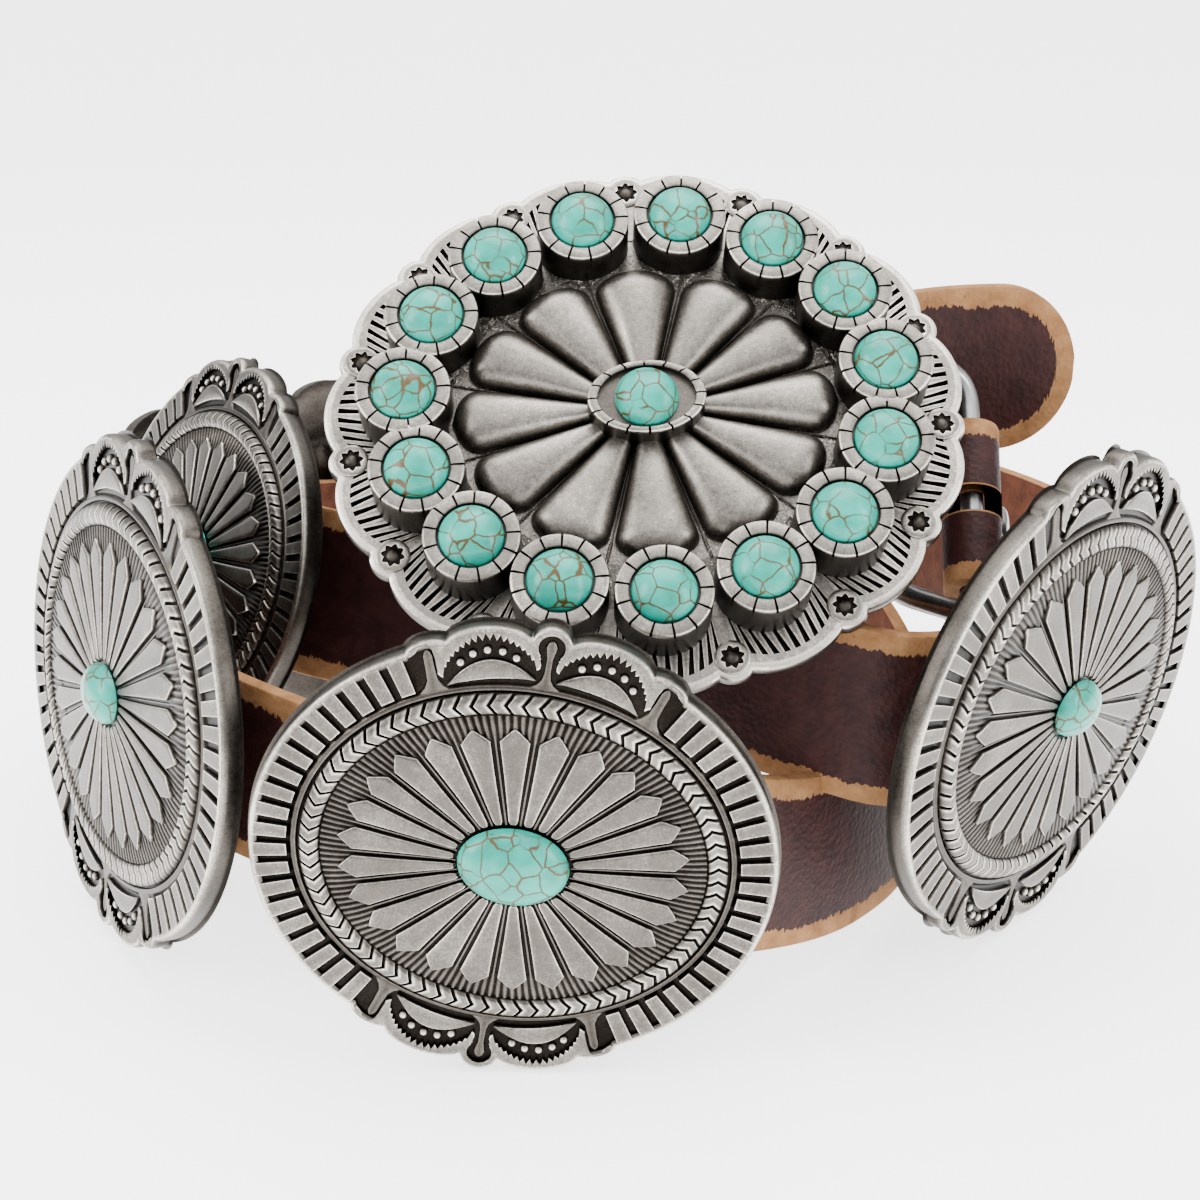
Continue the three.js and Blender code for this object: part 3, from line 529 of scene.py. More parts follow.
def leather_material():
    """The strap: inset is the distance from the nearest edge in mm, side tells face from flesh."""
    shader = Shader("strap_leather")
    position = shader.position()
    inset = shader.attribute("inset")
    side = shader.attribute("side")
    strip = shader.node("CombineXYZ", X=shader.attribute("along"), Y=shader.times(inset, 0.35), Z=side)
    bristle = shader.noise(strip.outputs["Vector"], *PAINT_BRISTLE)
    wave = shader.noise(strip.outputs["Vector"], *PAINT_WAVE)
    jag = shader.scaled(bristle, 3.2, shader.times(wave, 2.2))
    reach = shader.minus(inset, shader.math("ADD", jag, PAINT_INSET))
    painted = shader.times(shader.math("GREATER_THAN", reach, 0.0), shader.math("GREATER_THAN", side, 0.5))
    cloud = shader.noise(position, 260, 5)
    speck = shader.noise(position, *LEATHER_SPECK)
    inside = shader.math("LESS_THAN", side, -0.5)
    raw = shader.mix(inside, shader.ramp(cloud, TAN_TONES), shader.ramp(cloud, FLESH_TONES))
    dots = shader.times(shader.math("GREATER_THAN", speck, 0.66), 0.55)
    colour = shader.mix(painted, shader.mix(dots, raw, DOT_COLOUR), shader.ramp(cloud, PAINT_TONES))
    pore = shader.node("TexVoronoi", Scale=PORE_SCALE, Vector=position)
    shader.bump(shader.scaled(speck, 0.8, pore.outputs["Distance"]), 0.55, 0.0002)
    return shader.finished({"Base Color": colour, "Specular IOR Level": 0.17,
                            "Roughness": shader.minus(0.85, shader.times(painted, 0.3))})


def cut_leather_material():
    shader = Shader("cut_leather")
    fibre = shader.noise(shader.position(), *CUT_FIBRE)
    shader.bump(fibre, 1.0, 0.0006)
    return shader.finished({"Base Color": shader.ramp(fibre, CUT_TONES), "Roughness": 0.95})


SILVER = silver_material()
WIRE = wire_material()
TURQUOISE = turquoise_material()
LEATHER = leather_material()
CUT_LEATHER = cut_leather_material()


# Strap

PROFILE_STEPS = 10
EDGE_ROUND = 0.5
BEVEL = 0.3
FLAP_STEPS = 12
FOLD_STEPS = 20
FOLD_LENGTH = 12
CURVE_SAMPLES = 40
STATION_PITCH = 2.4
TIP_STATIONS = 24
TIP_TURN = 82


def strap_profile():
    """Points round the section as (across share, thickness share, side) from the flesh face on."""
    half = STRAP_WIDTH / 2
    thick = STRAP_THICKNESS / 2
    flat = 1 - EDGE_ROUND / half
    rounded = 1 - EDGE_ROUND / thick
    face = [(-flat + 2 * flat * k / PROFILE_STEPS, 1, 1) for k in range(PROFILE_STEPS + 1)]
    bevel = [(1 - BEVEL * EDGE_ROUND / half, 1 - BEVEL * EDGE_ROUND / thick, 0.4), (1, rounded, 0)]
    right = bevel + [(1, 0, 0), (1, -rounded, 0), (bevel[0][0], -bevel[0][1], -0.4)]
    upper = face + right
    lower = [(-w, -t, -s) for w, t, s in upper]
    return upper + lower


def strap_stations():
    """Origin, across, out, half width, distance along and distance into the rounded tip."""
    half = STRAP_WIDTH / 2
    stations = []
    inward = -FOLD_OUT
    for k in range(FLAP_STEPS + 1):
        ahead = FLAP_LENGTH * (1 - k / FLAP_STEPS)
        closed = min(max((ahead - FLAP_CLOSES_FROM) / (FLAP_CLOSED_AT - FLAP_CLOSES_FROM), 0), 1)
        aside = FOLD_RADIUS - closed * (2 * FOLD_RADIUS - LAYER_PITCH)
        origin = BAR_CENTRE + inward * aside + FOLD_AHEAD * ahead
        stations.append((origin, BAR_AXIS, inward, half, -ahead - FOLD_LENGTH, 0))
    for k in range(FOLD_STEPS):
        turn = math.pi * k / FOLD_STEPS
        out = inward * math.cos(turn) - FOLD_AHEAD * math.sin(turn)
        distance = -FOLD_LENGTH + FOLD_LENGTH * k / FOLD_STEPS
        stations.append((BAR_CENTRE + out * FOLD_RADIUS, BAR_AXIS, out, half, distance, 0))
    places = np.linspace(0, SPANS, SPANS * CURVE_SAMPLES + 1)
    line = np.array([curve_point(place) for place in places])
    gone = np.concatenate([[0], np.cumsum(np.linalg.norm(np.diff(line, axis=0), axis=1))])
    length = gone[-1]
    tip_start = length - TIP_LENGTH
    for distance in np.linspace(0, tip_start, int(tip_start / STATION_PITCH), endpoint=False):
        origin, _, across, out = strap_frame(np.interp(distance, gone, places))
        stations.append((origin, across, out, half, distance, 0))
    for turn in np.radians(np.linspace(0, TIP_TURN, TIP_STATIONS)):
        into = TIP_LENGTH * math.sin(turn)
        origin, _, across, out = strap_frame(np.interp(tip_start + into, gone, places))
        stations.append((origin, across, out, half * math.cos(turn), tip_start + into, into))
    return stations


def build_strap():
    profile = strap_profile()
    surface = Surface("inset", "side", "along")
    rows = []
    insets = []
    lengths = []
    half = STRAP_WIDTH / 2
    for origin, across, out, half_width, distance, into in strap_stations():
        rows.append([origin + across * (w * half_width) + out * (t * STRAP_THICKNESS / 2)
                     for w, t, _ in profile])
        from_end = FLAP_LENGTH + FOLD_LENGTH + distance
        row_inset = []
        for w, _, _ in profile:
            reach = math.hypot(into / TIP_LENGTH, w * half_width / half)
            inset = half * (1 - reach) if into > 0 else half * (1 - abs(w))
            row_inset.append(min(inset, from_end))
        insets.append(row_inset)
        lengths.append([distance] * len(profile))
    grid = np.array(rows)
    sides = np.broadcast_to(np.array([s for _, _, s in profile]), grid.shape[:2])
    surface.add_grid(grid, inset=np.array(insets), side=sides, along=np.array(lengths))
    count = len(profile)
    end = [(len(rows) - 1) * count + k for k in range(count)]
    surface.faces += [list(range(count)), end[::-1]]
    mesh = surface.mesh("strap_looks")
    piece = place_piece("strap_looks", mesh, Matrix.Identity(4), [LEATHER, CUT_LEATHER], "strap")
    cut_slot(piece)
    return piece


def cut_slot(piece):
    """Cuts the slot in the fold, and keeps the cut faces brown and rough."""
    size = (2 * FOLD_SLOT_DEPTH, FOLD_SLOT_WIDTH, 2 * FOLD_RADIUS + 2 * STRAP_THICKNESS)
    corners = [(x, y, z) for x in (-0.5, 0.5) for y in (-0.5, 0.5) for z in (-0.5, 0.5)]
    faces = [(0, 1, 3, 2), (4, 6, 7, 5), (0, 4, 5, 1), (2, 3, 7, 6), (0, 2, 6, 4), (1, 5, 7, 3)]
    mesh = bpy.data.meshes.new("slot_cutter")
    mesh.from_pydata([tuple(c * s for c, s in zip(corner, size)) for corner in corners], [], faces)
    mesh.materials.append(LEATHER)
    mesh.materials.append(CUT_LEATHER)
    mesh.polygons.foreach_set("material_index", [1] * len(faces))
    mesh.update()
    cutter = bpy.data.objects.new("slot_cutter", mesh)
    bpy.context.scene.collection.objects.link(cutter)
    cutter.matrix_world = TO_ROW @ FOLD_FRAME
    modifier = piece.modifiers.new("slot", "BOOLEAN")
    modifier.operation = "DIFFERENCE"
    modifier.solver = "EXACT"
    modifier.object = cutter
    bpy.context.view_layer.update()
    depsgraph = bpy.context.evaluated_depsgraph_get()
    cut = bpy.data.meshes.new_from_object(piece.evaluated_get(depsgraph))
    piece.modifiers.clear()
    piece.data = cut
    bpy.data.objects.remove(cutter)


# Conchos: flat relief is laid in bands over a gently domed plate

FLOOR = -0.55
TOP = 0.3
DOME_SHARES = (0.17, 0.655, 0.72, 0.8, 0.965, 1.08)
DOME_LEVELS = (2.4, 1.49, 1.2, 0.84, 0.6, 0.5)
HATCH_PER_PETAL = 6
ROPE_CHEVRONS = 76
BAR_COUNT = 20
BARS_FROM = 31.2
RIM_INSET = 0.021
RELIEF_SINK = 0.15
EDGE_INSET = 0.012
RIM_STEPS = 720
PETAL_PARTS = (0, 0.02, 0.05, 0.2, 0.4, 0.6, 0.76, 0.87, 0.9, 0.93, 0.96, 0.985, 1.0)

# Rows of share of the band, gain of the height and gain of the wear
HATCH_PROFILE = ((0.0, -0.1, 0.0), (0.02, 0.3, 0.6), (0.6, 0.8, 1.0), (0.96, 0.8, 1.0), (1.0, 0.0, 0.1))

# Rows of share of the band, height and wear, with painted highlights along the bead's two crest lines
BEAD_PROFILE = ((0.0, -0.5, 0.02), (0.14, -0.45, 0.03), (0.22, -0.1, 0.45), (0.3, 0.05, 0.62),
                (0.45, 0.06, 0.36), (0.6, 0.05, 0.4), (0.68, -0.02, 0.62), (0.78, -0.35, 0.1),
                (1.0, FLOOR, 0.03))

# Rows of step inwards from the edge, height and wear: the bright crest is wear with a painted highlight, and
# the darker outer wall is painted shade that outlines the plate
RIM_PROFILE = ((0.034, 0.45, 0.5), (0.022, 0.77, 0.8), (0.014, 0.7, 0.95), (0.006, 0.45, 0.82),
               (0.0015, 0.1, 0.66), (0.0, -0.5, 0.48), (0.0, -2.0, 0.4), (0.004, -CONCHO_RIM, 0.5))

# Rows of share of the outline and height, from the rim to the middle of the back
BACK_PROFILE = ((1.0, -CONCHO_RIM), (0.955, -CONCHO_RIM), (0.94, -2.4), (0.86, -1.9), (0.82, -1.5),
                (0.8, -1.45), (0.76, -1.1), (0.72, -1.45), (0.7, -1.5), (0.66, -1.3), (0.64, -1.15),
                (0.5, -0.65), (0.35, -0.3), (0.22, -0.1), (0.2, 0.0), (0.02, 0.05))
LOOP_SOFT_EDGE = 0.35


def bump_share(angle, centre, half_span):
    away = np.abs(np.arctan2(np.sin(angle - centre), np.cos(angle - centre)))
    return np.sqrt(np.clip(1 - (away / half_span) ** 2, 0, 1))


def concho_edge(angle):
    most = np.zeros_like(angle)
    for end in (90, 270):
        for at, half, out in LOBES:
            most = np.maximum(most, out * bump_share(angle, math.radians(end + at), math.radians(half)))
    return 1 + most


def add_band(surface, level, inner, outer, profile, closed=False, flip=False):
    """A band between two lines of points. Each row of the profile is share, height and wear with painted
    light.
    """
    rows = []
    for share, height, worn in profile:
        x = inner[0] + (outer[0] - inner[0]) * share
        y = inner[1] + (outer[1] - inner[1]) * share
        rows.append((x, y, level(x, y) + height, worn))
    surface.add_rows(rows, closed, flip)


def add_rim(surface, turns, halves, edge, inset, profile):
    """A plate's outer edge. Each row of the profile is the step inwards, height and wear with painted light.
    """
    rings = []
    for back, height, worn in profile:
        share = edge - back - inset
        rings.append((halves[0] * share, halves[1] * share, height, worn))
    surface.add_rings(turns, rings)


def circle(count):
    return np.arange(count) * 2 * math.pi / count


def half_axes(size):
    """Half width and half height of a concho, without the lobes at its ends."""
    return size["half_width"], size["half_height"] * BASE_HEIGHT_SHARE


def repeated(row, count):
    """The motif's number and then the columns of its points, for all the motifs of a ring."""
    columns = [np.array(list(column) * count, dtype=float) for column in zip(*row)]
    return [np.repeat(np.arange(count), len(row)), *columns]


def concho_level(size):
    width, base = half_axes(size)

    def level(x, y):
        return np.interp(np.hypot(x / width, y / base), DOME_SHARES, DOME_LEVELS) - RELIEF_SINK
    return level


def mirrored(half_row):
    """Places across one motif from its middle outwards, mirrored to the whole motif."""
    return [(-place, *rest) for place, *rest in half_row[:0:-1]] + list(half_row)


def concho_petals(surface, size, level):
    width, base = half_axes(size)
    pitch = 2 * math.pi / PETAL_COUNT
    rows = []
    for part in PETAL_PARTS:
        reach = 0.56 + 0.19 * min(part / 0.87, 1)
        if part < 0.05:
            reach *= 0.45 + 11 * part
        if part > 0.87:
            reach *= (1 - part) / 0.13
        half_mm = math.pi * (0.21 + 0.44 * part) * width * 0.93 / PETAL_COUNT
        wall = min(0.1 / half_mm, 0.06)
        bevel = 0.26 / half_mm
        rib = 0.13 / half_mm
        flat = max(reach - bevel, 0)
        top = PETAL_RELIEF if part > 0 else 0.35
        low_side = max(1 - rib - wall, reach + 1.4 * wall)
        # The petals' rims are brightest, wear with a painted highlight along the edge; the floor between them
        # is dark patina.
        half_row = [(0, top, 0.6), (flat * 0.55, top, 0.6), (flat, top, 0.66), (reach, top - 0.14, 1.0),
                    (reach + wall, 0.0, 0.1), (low_side, 0.0, 0.03),
                    (max(1 - rib, low_side + 0.01), 0.3, 0.5), (1.0, 0.34, 0.62)]
        number, place, height, worn = repeated(mirrored(half_row)[:-1], PETAL_COUNT)
        turns = (number + place / 2) * pitch
        cos, sin = np.cos(turns), np.sin(turns)
        x0, y0 = (size["stone_x"] + 0.3) * cos, (size["stone_y"] + 0.3) * sin
        x = x0 + (width * 0.655 * cos - x0) * part
        y = y0 + (base * 0.616 * sin - y0) * part
        rows.append((x, y, level(x, y) - 0.1 + height, worn))
    surface.add_rows(rows)


def concho_hatching(surface, size, level):
    """The ring of fine ridges between the petals and the rope."""
    width, base = half_axes(size)
    count = PETAL_COUNT * HATCH_PER_PETAL
    row = [(0.0, 0.34, 0.62), (0.2, 0.26, 0.5), (0.36, 0.02, 0.05), (0.64, 0.02, 0.05), (0.8, 0.26, 0.5)]
    number, place, height, worn = repeated(row, count)
    turns = (number + place) * 2 * math.pi / count
    cos, sin = np.cos(turns), np.sin(turns)
    bands = [(share, height * gain, worn * shine) for share, gain, shine in HATCH_PROFILE]
    add_band(surface, level, (width * 0.58 * cos, base * 0.545 * sin),
             (width * 0.722 * cos, base * 0.672 * sin), bands, closed=True, flip=True)


def concho_rope(surface, size, level):
    width, base = half_axes(size)
    # Per chevron: depth cut and wear; the 1.0 rims are wear with a painted highlight.
    row = [(0.0, -0.55, 0.02), (0.1, -0.55, 0.02), (0.16, 0.0, 0.6), (0.24, 0.02, 1.0), (0.5, 0.1, 0.66),
           (0.8, 0.16, 0.7), (0.9, 0.14, 1.0), (0.97, -0.5, 0.1)]
    number, place, cut, shine = repeated(row, ROPE_CHEVRONS)
    rows = []
    for share in (0.0, 0.04, 0.1, 0.2, 0.32, 0.44, 0.5, 0.56, 0.68, 0.8, 0.9, 0.96, 1.0):
        across = abs(2 * share - 1)
        swell = math.sqrt(max(1 - across ** 2.6, 0))
        turns = (number + place - 0.5 * across) * 2 * math.pi / ROPE_CHEVRONS
        x = width * (0.72 + 0.08 * share) * np.cos(turns)
        y = base * (0.67 + 0.095 * share) * np.sin(turns)
        height = level(x, y) - 0.2 + ROPE_RELIEF * swell + cut * min(swell * 1.4, 1)
        # Each strand is painted darker towards its sides, as painted shade where its surface turns down.
        rows.append((x, y, height, shine * min(swell * 1.25 + 0.05, 1)))
    surface.add_rows(rows)


def concho_bars(surface, size, level):
    width, base = half_axes(size)
    span = math.radians(180 - 2 * BARS_FROM) / BAR_COUNT
    # Bar edges at 0.95 are wear with a painted highlight, the bar faces plain wear, the slots dark patina.
    cell = [(0.0, 0, 0.02), (0.15, 0, 0.02), (0.19, 1, 0.95), (0.26, 1, 0.66), (0.5, 1, 0.6), (0.74, 1, 0.66),
            (0.81, 1, 0.95), (0.85, 0, 0.02)]
    number, place, raised, shine = repeated(cell, BAR_COUNT)
    place = np.append(number + place, BAR_COUNT)
    raised = np.append(raised, 0)
    shine = np.append(shine, 0.02)
    up = np.where(raised > 0, TOP, FLOOR)
    # lit marks the bars' edges bright as a painted highlight over the wear.
    lit = np.where(raised > 0, 0.95, 0.02)
    profile = [(0.0, FLOOR, 0.03), (0.03, FLOOR, 0.03), (0.05, up, lit), (0.1, up, shine), (0.45, up, shine),
               (0.88, up + 0.05 * raised, shine), (0.95, up - 0.02 * raised, lit),
               (0.965, TOP - 0.05, np.where(raised > 0, 0.95, 0.9)), (1.0, TOP - 0.1, 0.95)]
    for side in (0, math.pi):
        turns = side - math.radians(90 - BARS_FROM) + place * span
        cos, sin = np.cos(turns), np.sin(turns)
        edge = concho_edge(turns) - RIM_INSET
        add_band(surface, level, (width * 0.838 * cos, base * 0.8 * sin),
                 (width * edge * cos, base * edge * sin), profile, flip=True)


# Half of an end ornament, in shares of the half height: sideways and outwards

FAN_CENTRE = (0.2, 0.708)
FAN_TEETH = 17
FAN_FROM = -52
FAN_TO = 82
HOLE_CENTRE = 0.905
HOLE_RADIUS = 0.052
HOOK = ((0.041, 0.864), (0.035, 0.85), (0.03, 0.83), (0.032, 0.815), (0.041, 0.808))
ARCH = ((0.389, 0.715), (0.409, 0.726), (0.428, 0.785), (0.442, 0.818), (0.467, 0.834), (0.492, 0.822),
        (0.508, 0.793), (0.525, 0.775))
LUNE_START = (0.039, 0.768)
LUNE_END = (0.369, 0.69)
LUNE_RISES = (0.018, 0.096)
BALL_RADIUS = 0.0195
STEM = ((0.735, 0.07), (0.752, 0.04), (0.772, 0.022), (0.80, 0.0145), (0.86, 0.0135), (0.88, 0.02),
        (0.905, 0.026), (0.923, 0.018), (0.931, 0.004))
TONGUE = ((0.0, 0.075), (0.12, 0.045), (0.28, 0.026), (0.6, 0.022), (0.86, 0.022), (0.95, 0.014),
          (1.0, 0.003))
TONGUE_FOOT = (0.41, 0.65)
TONGUE_HEAD = (0.468, 0.812)
FAN_RADIUS = 0.19
FAN_TOOTH = 0.031
BALL_COUNT = 5
BALL_SIDES = 12

# Rows of share of the band, height in mm and wear; the bright edges and ball tops are wear with painted
# highlights, and the balls' darker sides are painted shade
END_PROFILE = ((0.0, FLOOR, 0.02), (0.012, FLOOR + 0.1, 0.1), (0.02, TOP - 0.08, 1.0), (0.12, TOP, 0.75),
               (0.5, TOP + 0.04, 0.66), (0.85, TOP, 0.75), (1.0, TOP - 0.12, 0.95))
LUNE_PROFILE = ((0.0, FLOOR, 0.03), (0.02, TOP - 0.1, 1.0), (0.1, TOP, 0.68), (0.5, TOP + 0.04, 0.62),
                (0.9, TOP, 0.7), (0.98, TOP - 0.1, 1.0), (1.0, FLOOR, 0.03))
BALL_PROFILE = ((0.01, 0.36, 1.0), (0.35, 0.31, 1.0), (0.65, 0.16, 0.85), (0.88, -0.08, 0.45),
                (1.0, FLOOR, 0.05))


def strip_profile(edge_height, edge_worn, middle_height, middle_worn):
    """Across a narrow strip that rises out of the floor: share, height and wear, its edges brighter as a
    painted highlight.
    """
    return [(0.0, FLOOR, 0.03), (0.12, edge_height, edge_worn), (0.5, middle_height, middle_worn),
            (0.88, edge_height, edge_worn), (1.0, FLOOR, 0.03)]


def concho_end(surface, size, level, end, side):
    """One half of the ornament at one end of the short axis."""
    h = size["half_height"]
    width, base = half_axes(size)
    flip = side * end > 0

    def placed(points):
        points = np.asarray(points) * h
        return side * points[:, 0], end * points[:, 1]

    def outline(degrees, back):
        turns = np.radians(90 - degrees)
        share = concho_edge(turns) - back
        return side * width * share * np.cos(turns), end * base * share * np.sin(turns)

    hole = [(HOLE_RADIUS * math.sin(a), HOLE_CENTRE + HOLE_RADIUS * math.cos(a))
            for a in np.radians(np.linspace(0, 132, 12))]
    saw = []
    for k in range(2 * FAN_TEETH + 1):
        a = math.radians(FAN_FROM + (FAN_TO - FAN_FROM) * k / (2 * FAN_TEETH))
        radius = FAN_RADIUS + 0.004 * math.cos(a) + (FAN_TOOTH if k % 2 == 1 else 0)
        saw.append((FAN_CENTRE[0] + radius * math.sin(a), FAN_CENTRE[1] + radius * math.cos(a)))
    inner = placed(hole + list(HOOK) + saw + list(ARCH))
    degrees = np.concatenate([np.linspace(0, 4.0, len(hole)), np.linspace(4.1, 4.7, len(HOOK)),
                              np.linspace(4.9, 22.0, len(saw)), np.linspace(22.3, BARS_FROM, len(ARCH))])
    add_band(surface, level, inner, outline(degrees, RIM_INSET), END_PROFILE, flip=flip)

    floor_degrees = np.linspace(0, BARS_FROM + 0.6, 24)
    turns = np.radians(90 - floor_degrees)
    foot = (side * width * 0.83 * np.cos(turns), end * base * 0.79 * np.sin(turns))
    add_band(surface, level, foot, outline(floor_degrees, 0.045), [(0.0, FLOOR, 0.04), (1.0, FLOOR, 0.02)],
             flip=flip)

    start = np.array(LUNE_START)
    chord = np.array(LUNE_END) - start
    across = np.array([-chord[1], chord[0]]) / np.linalg.norm(chord)
    arcs = [placed([start + chord * s + across * rise * (1 - (2 * s - 1) ** 2)
                    for s in np.linspace(0, 1, 19)]) for rise in LUNE_RISES]
    add_band(surface, level, *arcs, LUNE_PROFILE, flip=flip)

    turns = circle(BALL_SIDES)
    for k in range(BALL_COUNT):
        a = math.radians(15 + 22 * (k - 2))
        radius = 0.158 - 0.006 * math.cos(a)
        cx = side * (FAN_CENTRE[0] + radius * math.sin(a)) * h
        cy = end * (FAN_CENTRE[1] + radius * math.cos(a)) * h
        rim = (cx + BALL_RADIUS * h * np.cos(turns), cy + BALL_RADIUS * h * np.sin(turns))
        add_band(surface, level, (cx, cy), rim, BALL_PROFILE, closed=True, flip=True)
    if side > 0:
        length, half = np.array(STEM).T * h
        add_band(surface, level, (-half, end * length), (half, end * length),
                 strip_profile(-0.12, 0.62, -0.06, 0.4), flip=end < 0)
    foot_point = np.array(TONGUE_FOOT)
    way = np.array(TONGUE_HEAD) - foot_point
    sideways = np.array([way[1], -way[0]]) / np.linalg.norm(way)
    near = placed([foot_point + way * s - sideways * w for s, w in TONGUE])
    far = placed([foot_point + way * s + sideways * w for s, w in TONGUE])
    add_band(surface, level, near, far, strip_profile(-0.14, 0.6, -0.1, 0.38), flip=not flip)


def concho_front(surface, size):
    width, base = half_axes(size)
    level = concho_level(size)
    concho_petals(surface, size, level)
    concho_hatching(surface, size, level)
    concho_rope(surface, size, level)
    plain = circle(PETAL_COUNT * 8)
    cos, sin = np.cos(plain), np.sin(plain)
    add_band(surface, level, (width * 0.798 * cos, base * 0.762 * sin),
             (width * 0.842 * cos, base * 0.804 * sin), BEAD_PROFILE, closed=True, flip=True)
    seat = ((size["stone_x"] + 0.35) * cos, (size["stone_y"] + 0.35) * sin)
    add_band(surface, level, (seat[0] * 0.02, seat[1] * 0.02), seat, [(0.0, -0.12, 0.05), (1.0, -0.12, 0.05)],
             closed=True, flip=True)
    concho_bars(surface, size, level)
    for end in (-1, 1):
        for side in (-1, 1):
            concho_end(surface, size, level, end, side)
    fine = np.linspace(0, 2 * math.pi, RIM_STEPS, endpoint=False)
    add_rim(surface, fine, (width, base), concho_edge(fine), EDGE_INSET, RIM_PROFILE)


def concho_back(surface, size):
    """The concave back with a soft print of the front's petals and rope."""
    width, base = half_axes(size)
    theta = circle(PETAL_COUNT * 10)
    edge = concho_edge(theta)
    petal = np.cos(theta * PETAL_COUNT)
    rings = []
    for share, height in BACK_PROFILE:
        reach = share + (edge - 1) * smooth_step(0.85, 1.0, share)
        worn = 0.34 if share < 0.9 else 0.5
        if 0.22 < share < 0.655:
            height = height + 0.28 * petal
            worn = 0.36 + 0.14 * petal
        rings.append((width * reach, base * reach, height, worn))
    surface.add_rings(theta, rings, flip=False)


def post(surface, centre, radius, low, high, sides):
    """An upright round post with both ends closed and softened."""
    levels = [(0.001, high), (radius * 0.86, high), (radius, high - radius * 0.14),
              (radius, low + radius * 0.14), (radius * 0.86, low), (0.001, low)]
    surface.add_rings(circle(sides), [(r, r, z, 0.5) for r, z in levels], centre)


def concho_loop(surface):
    """The bar behind the strap, with softened edges, and the four posts that carry it."""
    inner = STRAP_WIDTH / 2 + LOOP_SLACK
    bar_top = -CONCHO_STAND - STRAP_THICKNESS / 2 - SEAT_GAP
    bar_half = inner + 2 * LOOP_POST_RADIUS
    middle = bar_top - LOOP_BAR_THICKNESS / 2
    section = []
    for sx, sz, start in ((-1, -1, 180), (1, -1, 270), (1, 1, 0), (-1, 1, 90)):
        cx = sx * (LOOP_BAR_WIDTH / 2 - LOOP_SOFT_EDGE)
        cz = middle + sz * (LOOP_BAR_THICKNESS / 2 - LOOP_SOFT_EDGE)
        for turn in (math.radians(start + a) for a in (0, 30, 60, 90)):
            section.append((cx + LOOP_SOFT_EDGE * math.cos(turn), cz + LOOP_SOFT_EDGE * math.sin(turn)))
    x, z = np.array(section).T
    rows = [(x * gain, y, middle + (z - middle) * gain, 0.5)
            for y, gain in ((-bar_half, 0.01), (-bar_half, 0.9), (-bar_half + LOOP_SOFT_EDGE, 1.0),
                            (bar_half - LOOP_SOFT_EDGE, 1.0), (bar_half, 0.9), (bar_half, 0.01))]
    surface.add_rows(rows, flip=False)
    for side in (-1, 1):
        for across in (-1, 1):
            post(surface, (across * LOOP_POST_SPREAD / 2, side * (inner + LOOP_POST_RADIUS)),
                 LOOP_POST_RADIUS, bar_top - LOOP_BAR_THICKNESS * 0.9, -CONCHO_WALL / 2, 20)


def concho_mesh(name, size):
    surface = Surface("worn")
    concho_front(surface, size)
    concho_back(surface, size)
    concho_loop(surface)
    return surface.mesh(name)


def cabochon_mesh(name, radius_x, radius_y, rise):
    surface = Surface("worn")
    rings = []
    for angle in np.radians(np.linspace(89.5, 0, 13)):
        out = math.cos(angle)
        rings.append((radius_x * out, radius_y * out, rise * math.sin(angle), 0))
    surface.add_rings(circle(40), rings, flip=False)
    return surface.mesh(name)


def build_conchos():
    meshes = {}
    for label, size in (("large", LARGE), ("small", SMALL)):
        stone = cabochon_mesh(f"oval_stone_{label}", size["stone_x"], size["stone_y"], size["stone_rise"])
        meshes[label] = (concho_mesh(f"concho_{label}", size), stone)
    number = 0
    for index, row in enumerate(ROUTE):
        size = row[5]
        if size is None:
            continue
        number += 1
        plate, stone = meshes["large" if size is LARGE else "small"]
        origin, along, across, out = strap_frame(index + FIRST_ROW)
        place = Matrix.Translation(origin) @ Matrix((along, across, out)).transposed().to_4x4()
        rim_level = place @ Matrix.Translation((0, 0, CONCHO_STAND))
        place_piece(f"concho_looks_{number}", plate, rim_level, [SILVER], f"concho_{number}")
        seat = CONCHO_DOME + PETAL_RELIEF - STONE_SINK + FIT_GAP
        place_piece(f"concho_stone_looks_{number}", stone, rim_level @ Matrix.Translation((0, 0, seat)),
                    [TURQUOISE], f"concho_stone_{number}")


# Buckle

FIELD_X = RING_X - BEZEL_RADIUS * 0.9
FIELD_Y = RING_Y - BEZEL_RADIUS * 0.9
BEZEL_BLOCKS = 13
CENTRE_BLOCKS = 16
FLANGE_SLOTS = 10
FLANGE_TOP = 0.36
BUCKLE_INSET = 0.002
LOBE_RADIUS = 3.0
LOBE_HOLE = 2.1
LOBE_SIDES = 48
FLANGE_FLOOR = -0.75
FLANGE_INSET = 0.022
FLANGE_SPREAD = math.radians(80)
FLANGE_REACH = math.radians(96)
FLANGE_EDGE = 0.045
BUCKLE_PETAL_PARTS = (0, 0.03, 0.08, 0.16, 0.26, 0.38, 0.5, 0.6, 0.68, 0.75, 0.8, 0.84, 0.875, 0.905, 0.93,
                      0.948, 0.962, 0.975, 0.99, 1.0)

# Rows of share of the flange and opening of the slots as a share of their pitch
FLANGE_PROFILE = ((0.0, 0.34), (0.055, 0.34), (0.06, 0.34), (0.3, 0.42), (0.55, 0.51), (0.745, 0.57),
                  (0.76, 0.57), (0.83, 0.5), (0.94, 0.5), (1.0, 0.5))


def bezel_angles():
    return [math.radians(-90 + 360 * k / STONE_COUNT) for k in range(STONE_COUNT)]


def buckle_edge(angle):
    half = math.pi / STONE_COUNT
    scallop = np.zeros_like(angle)
    lobe = np.zeros_like(angle)
    for centre in bezel_angles():
        scallop = np.maximum(scallop, bump_share(angle, centre, half * 1.02))
        lobe = np.maximum(lobe, bump_share(angle, centre + half, half * 0.3))
    return np.maximum(0.9 + 0.1 * scallop, 0.945 + 0.045 * lobe)


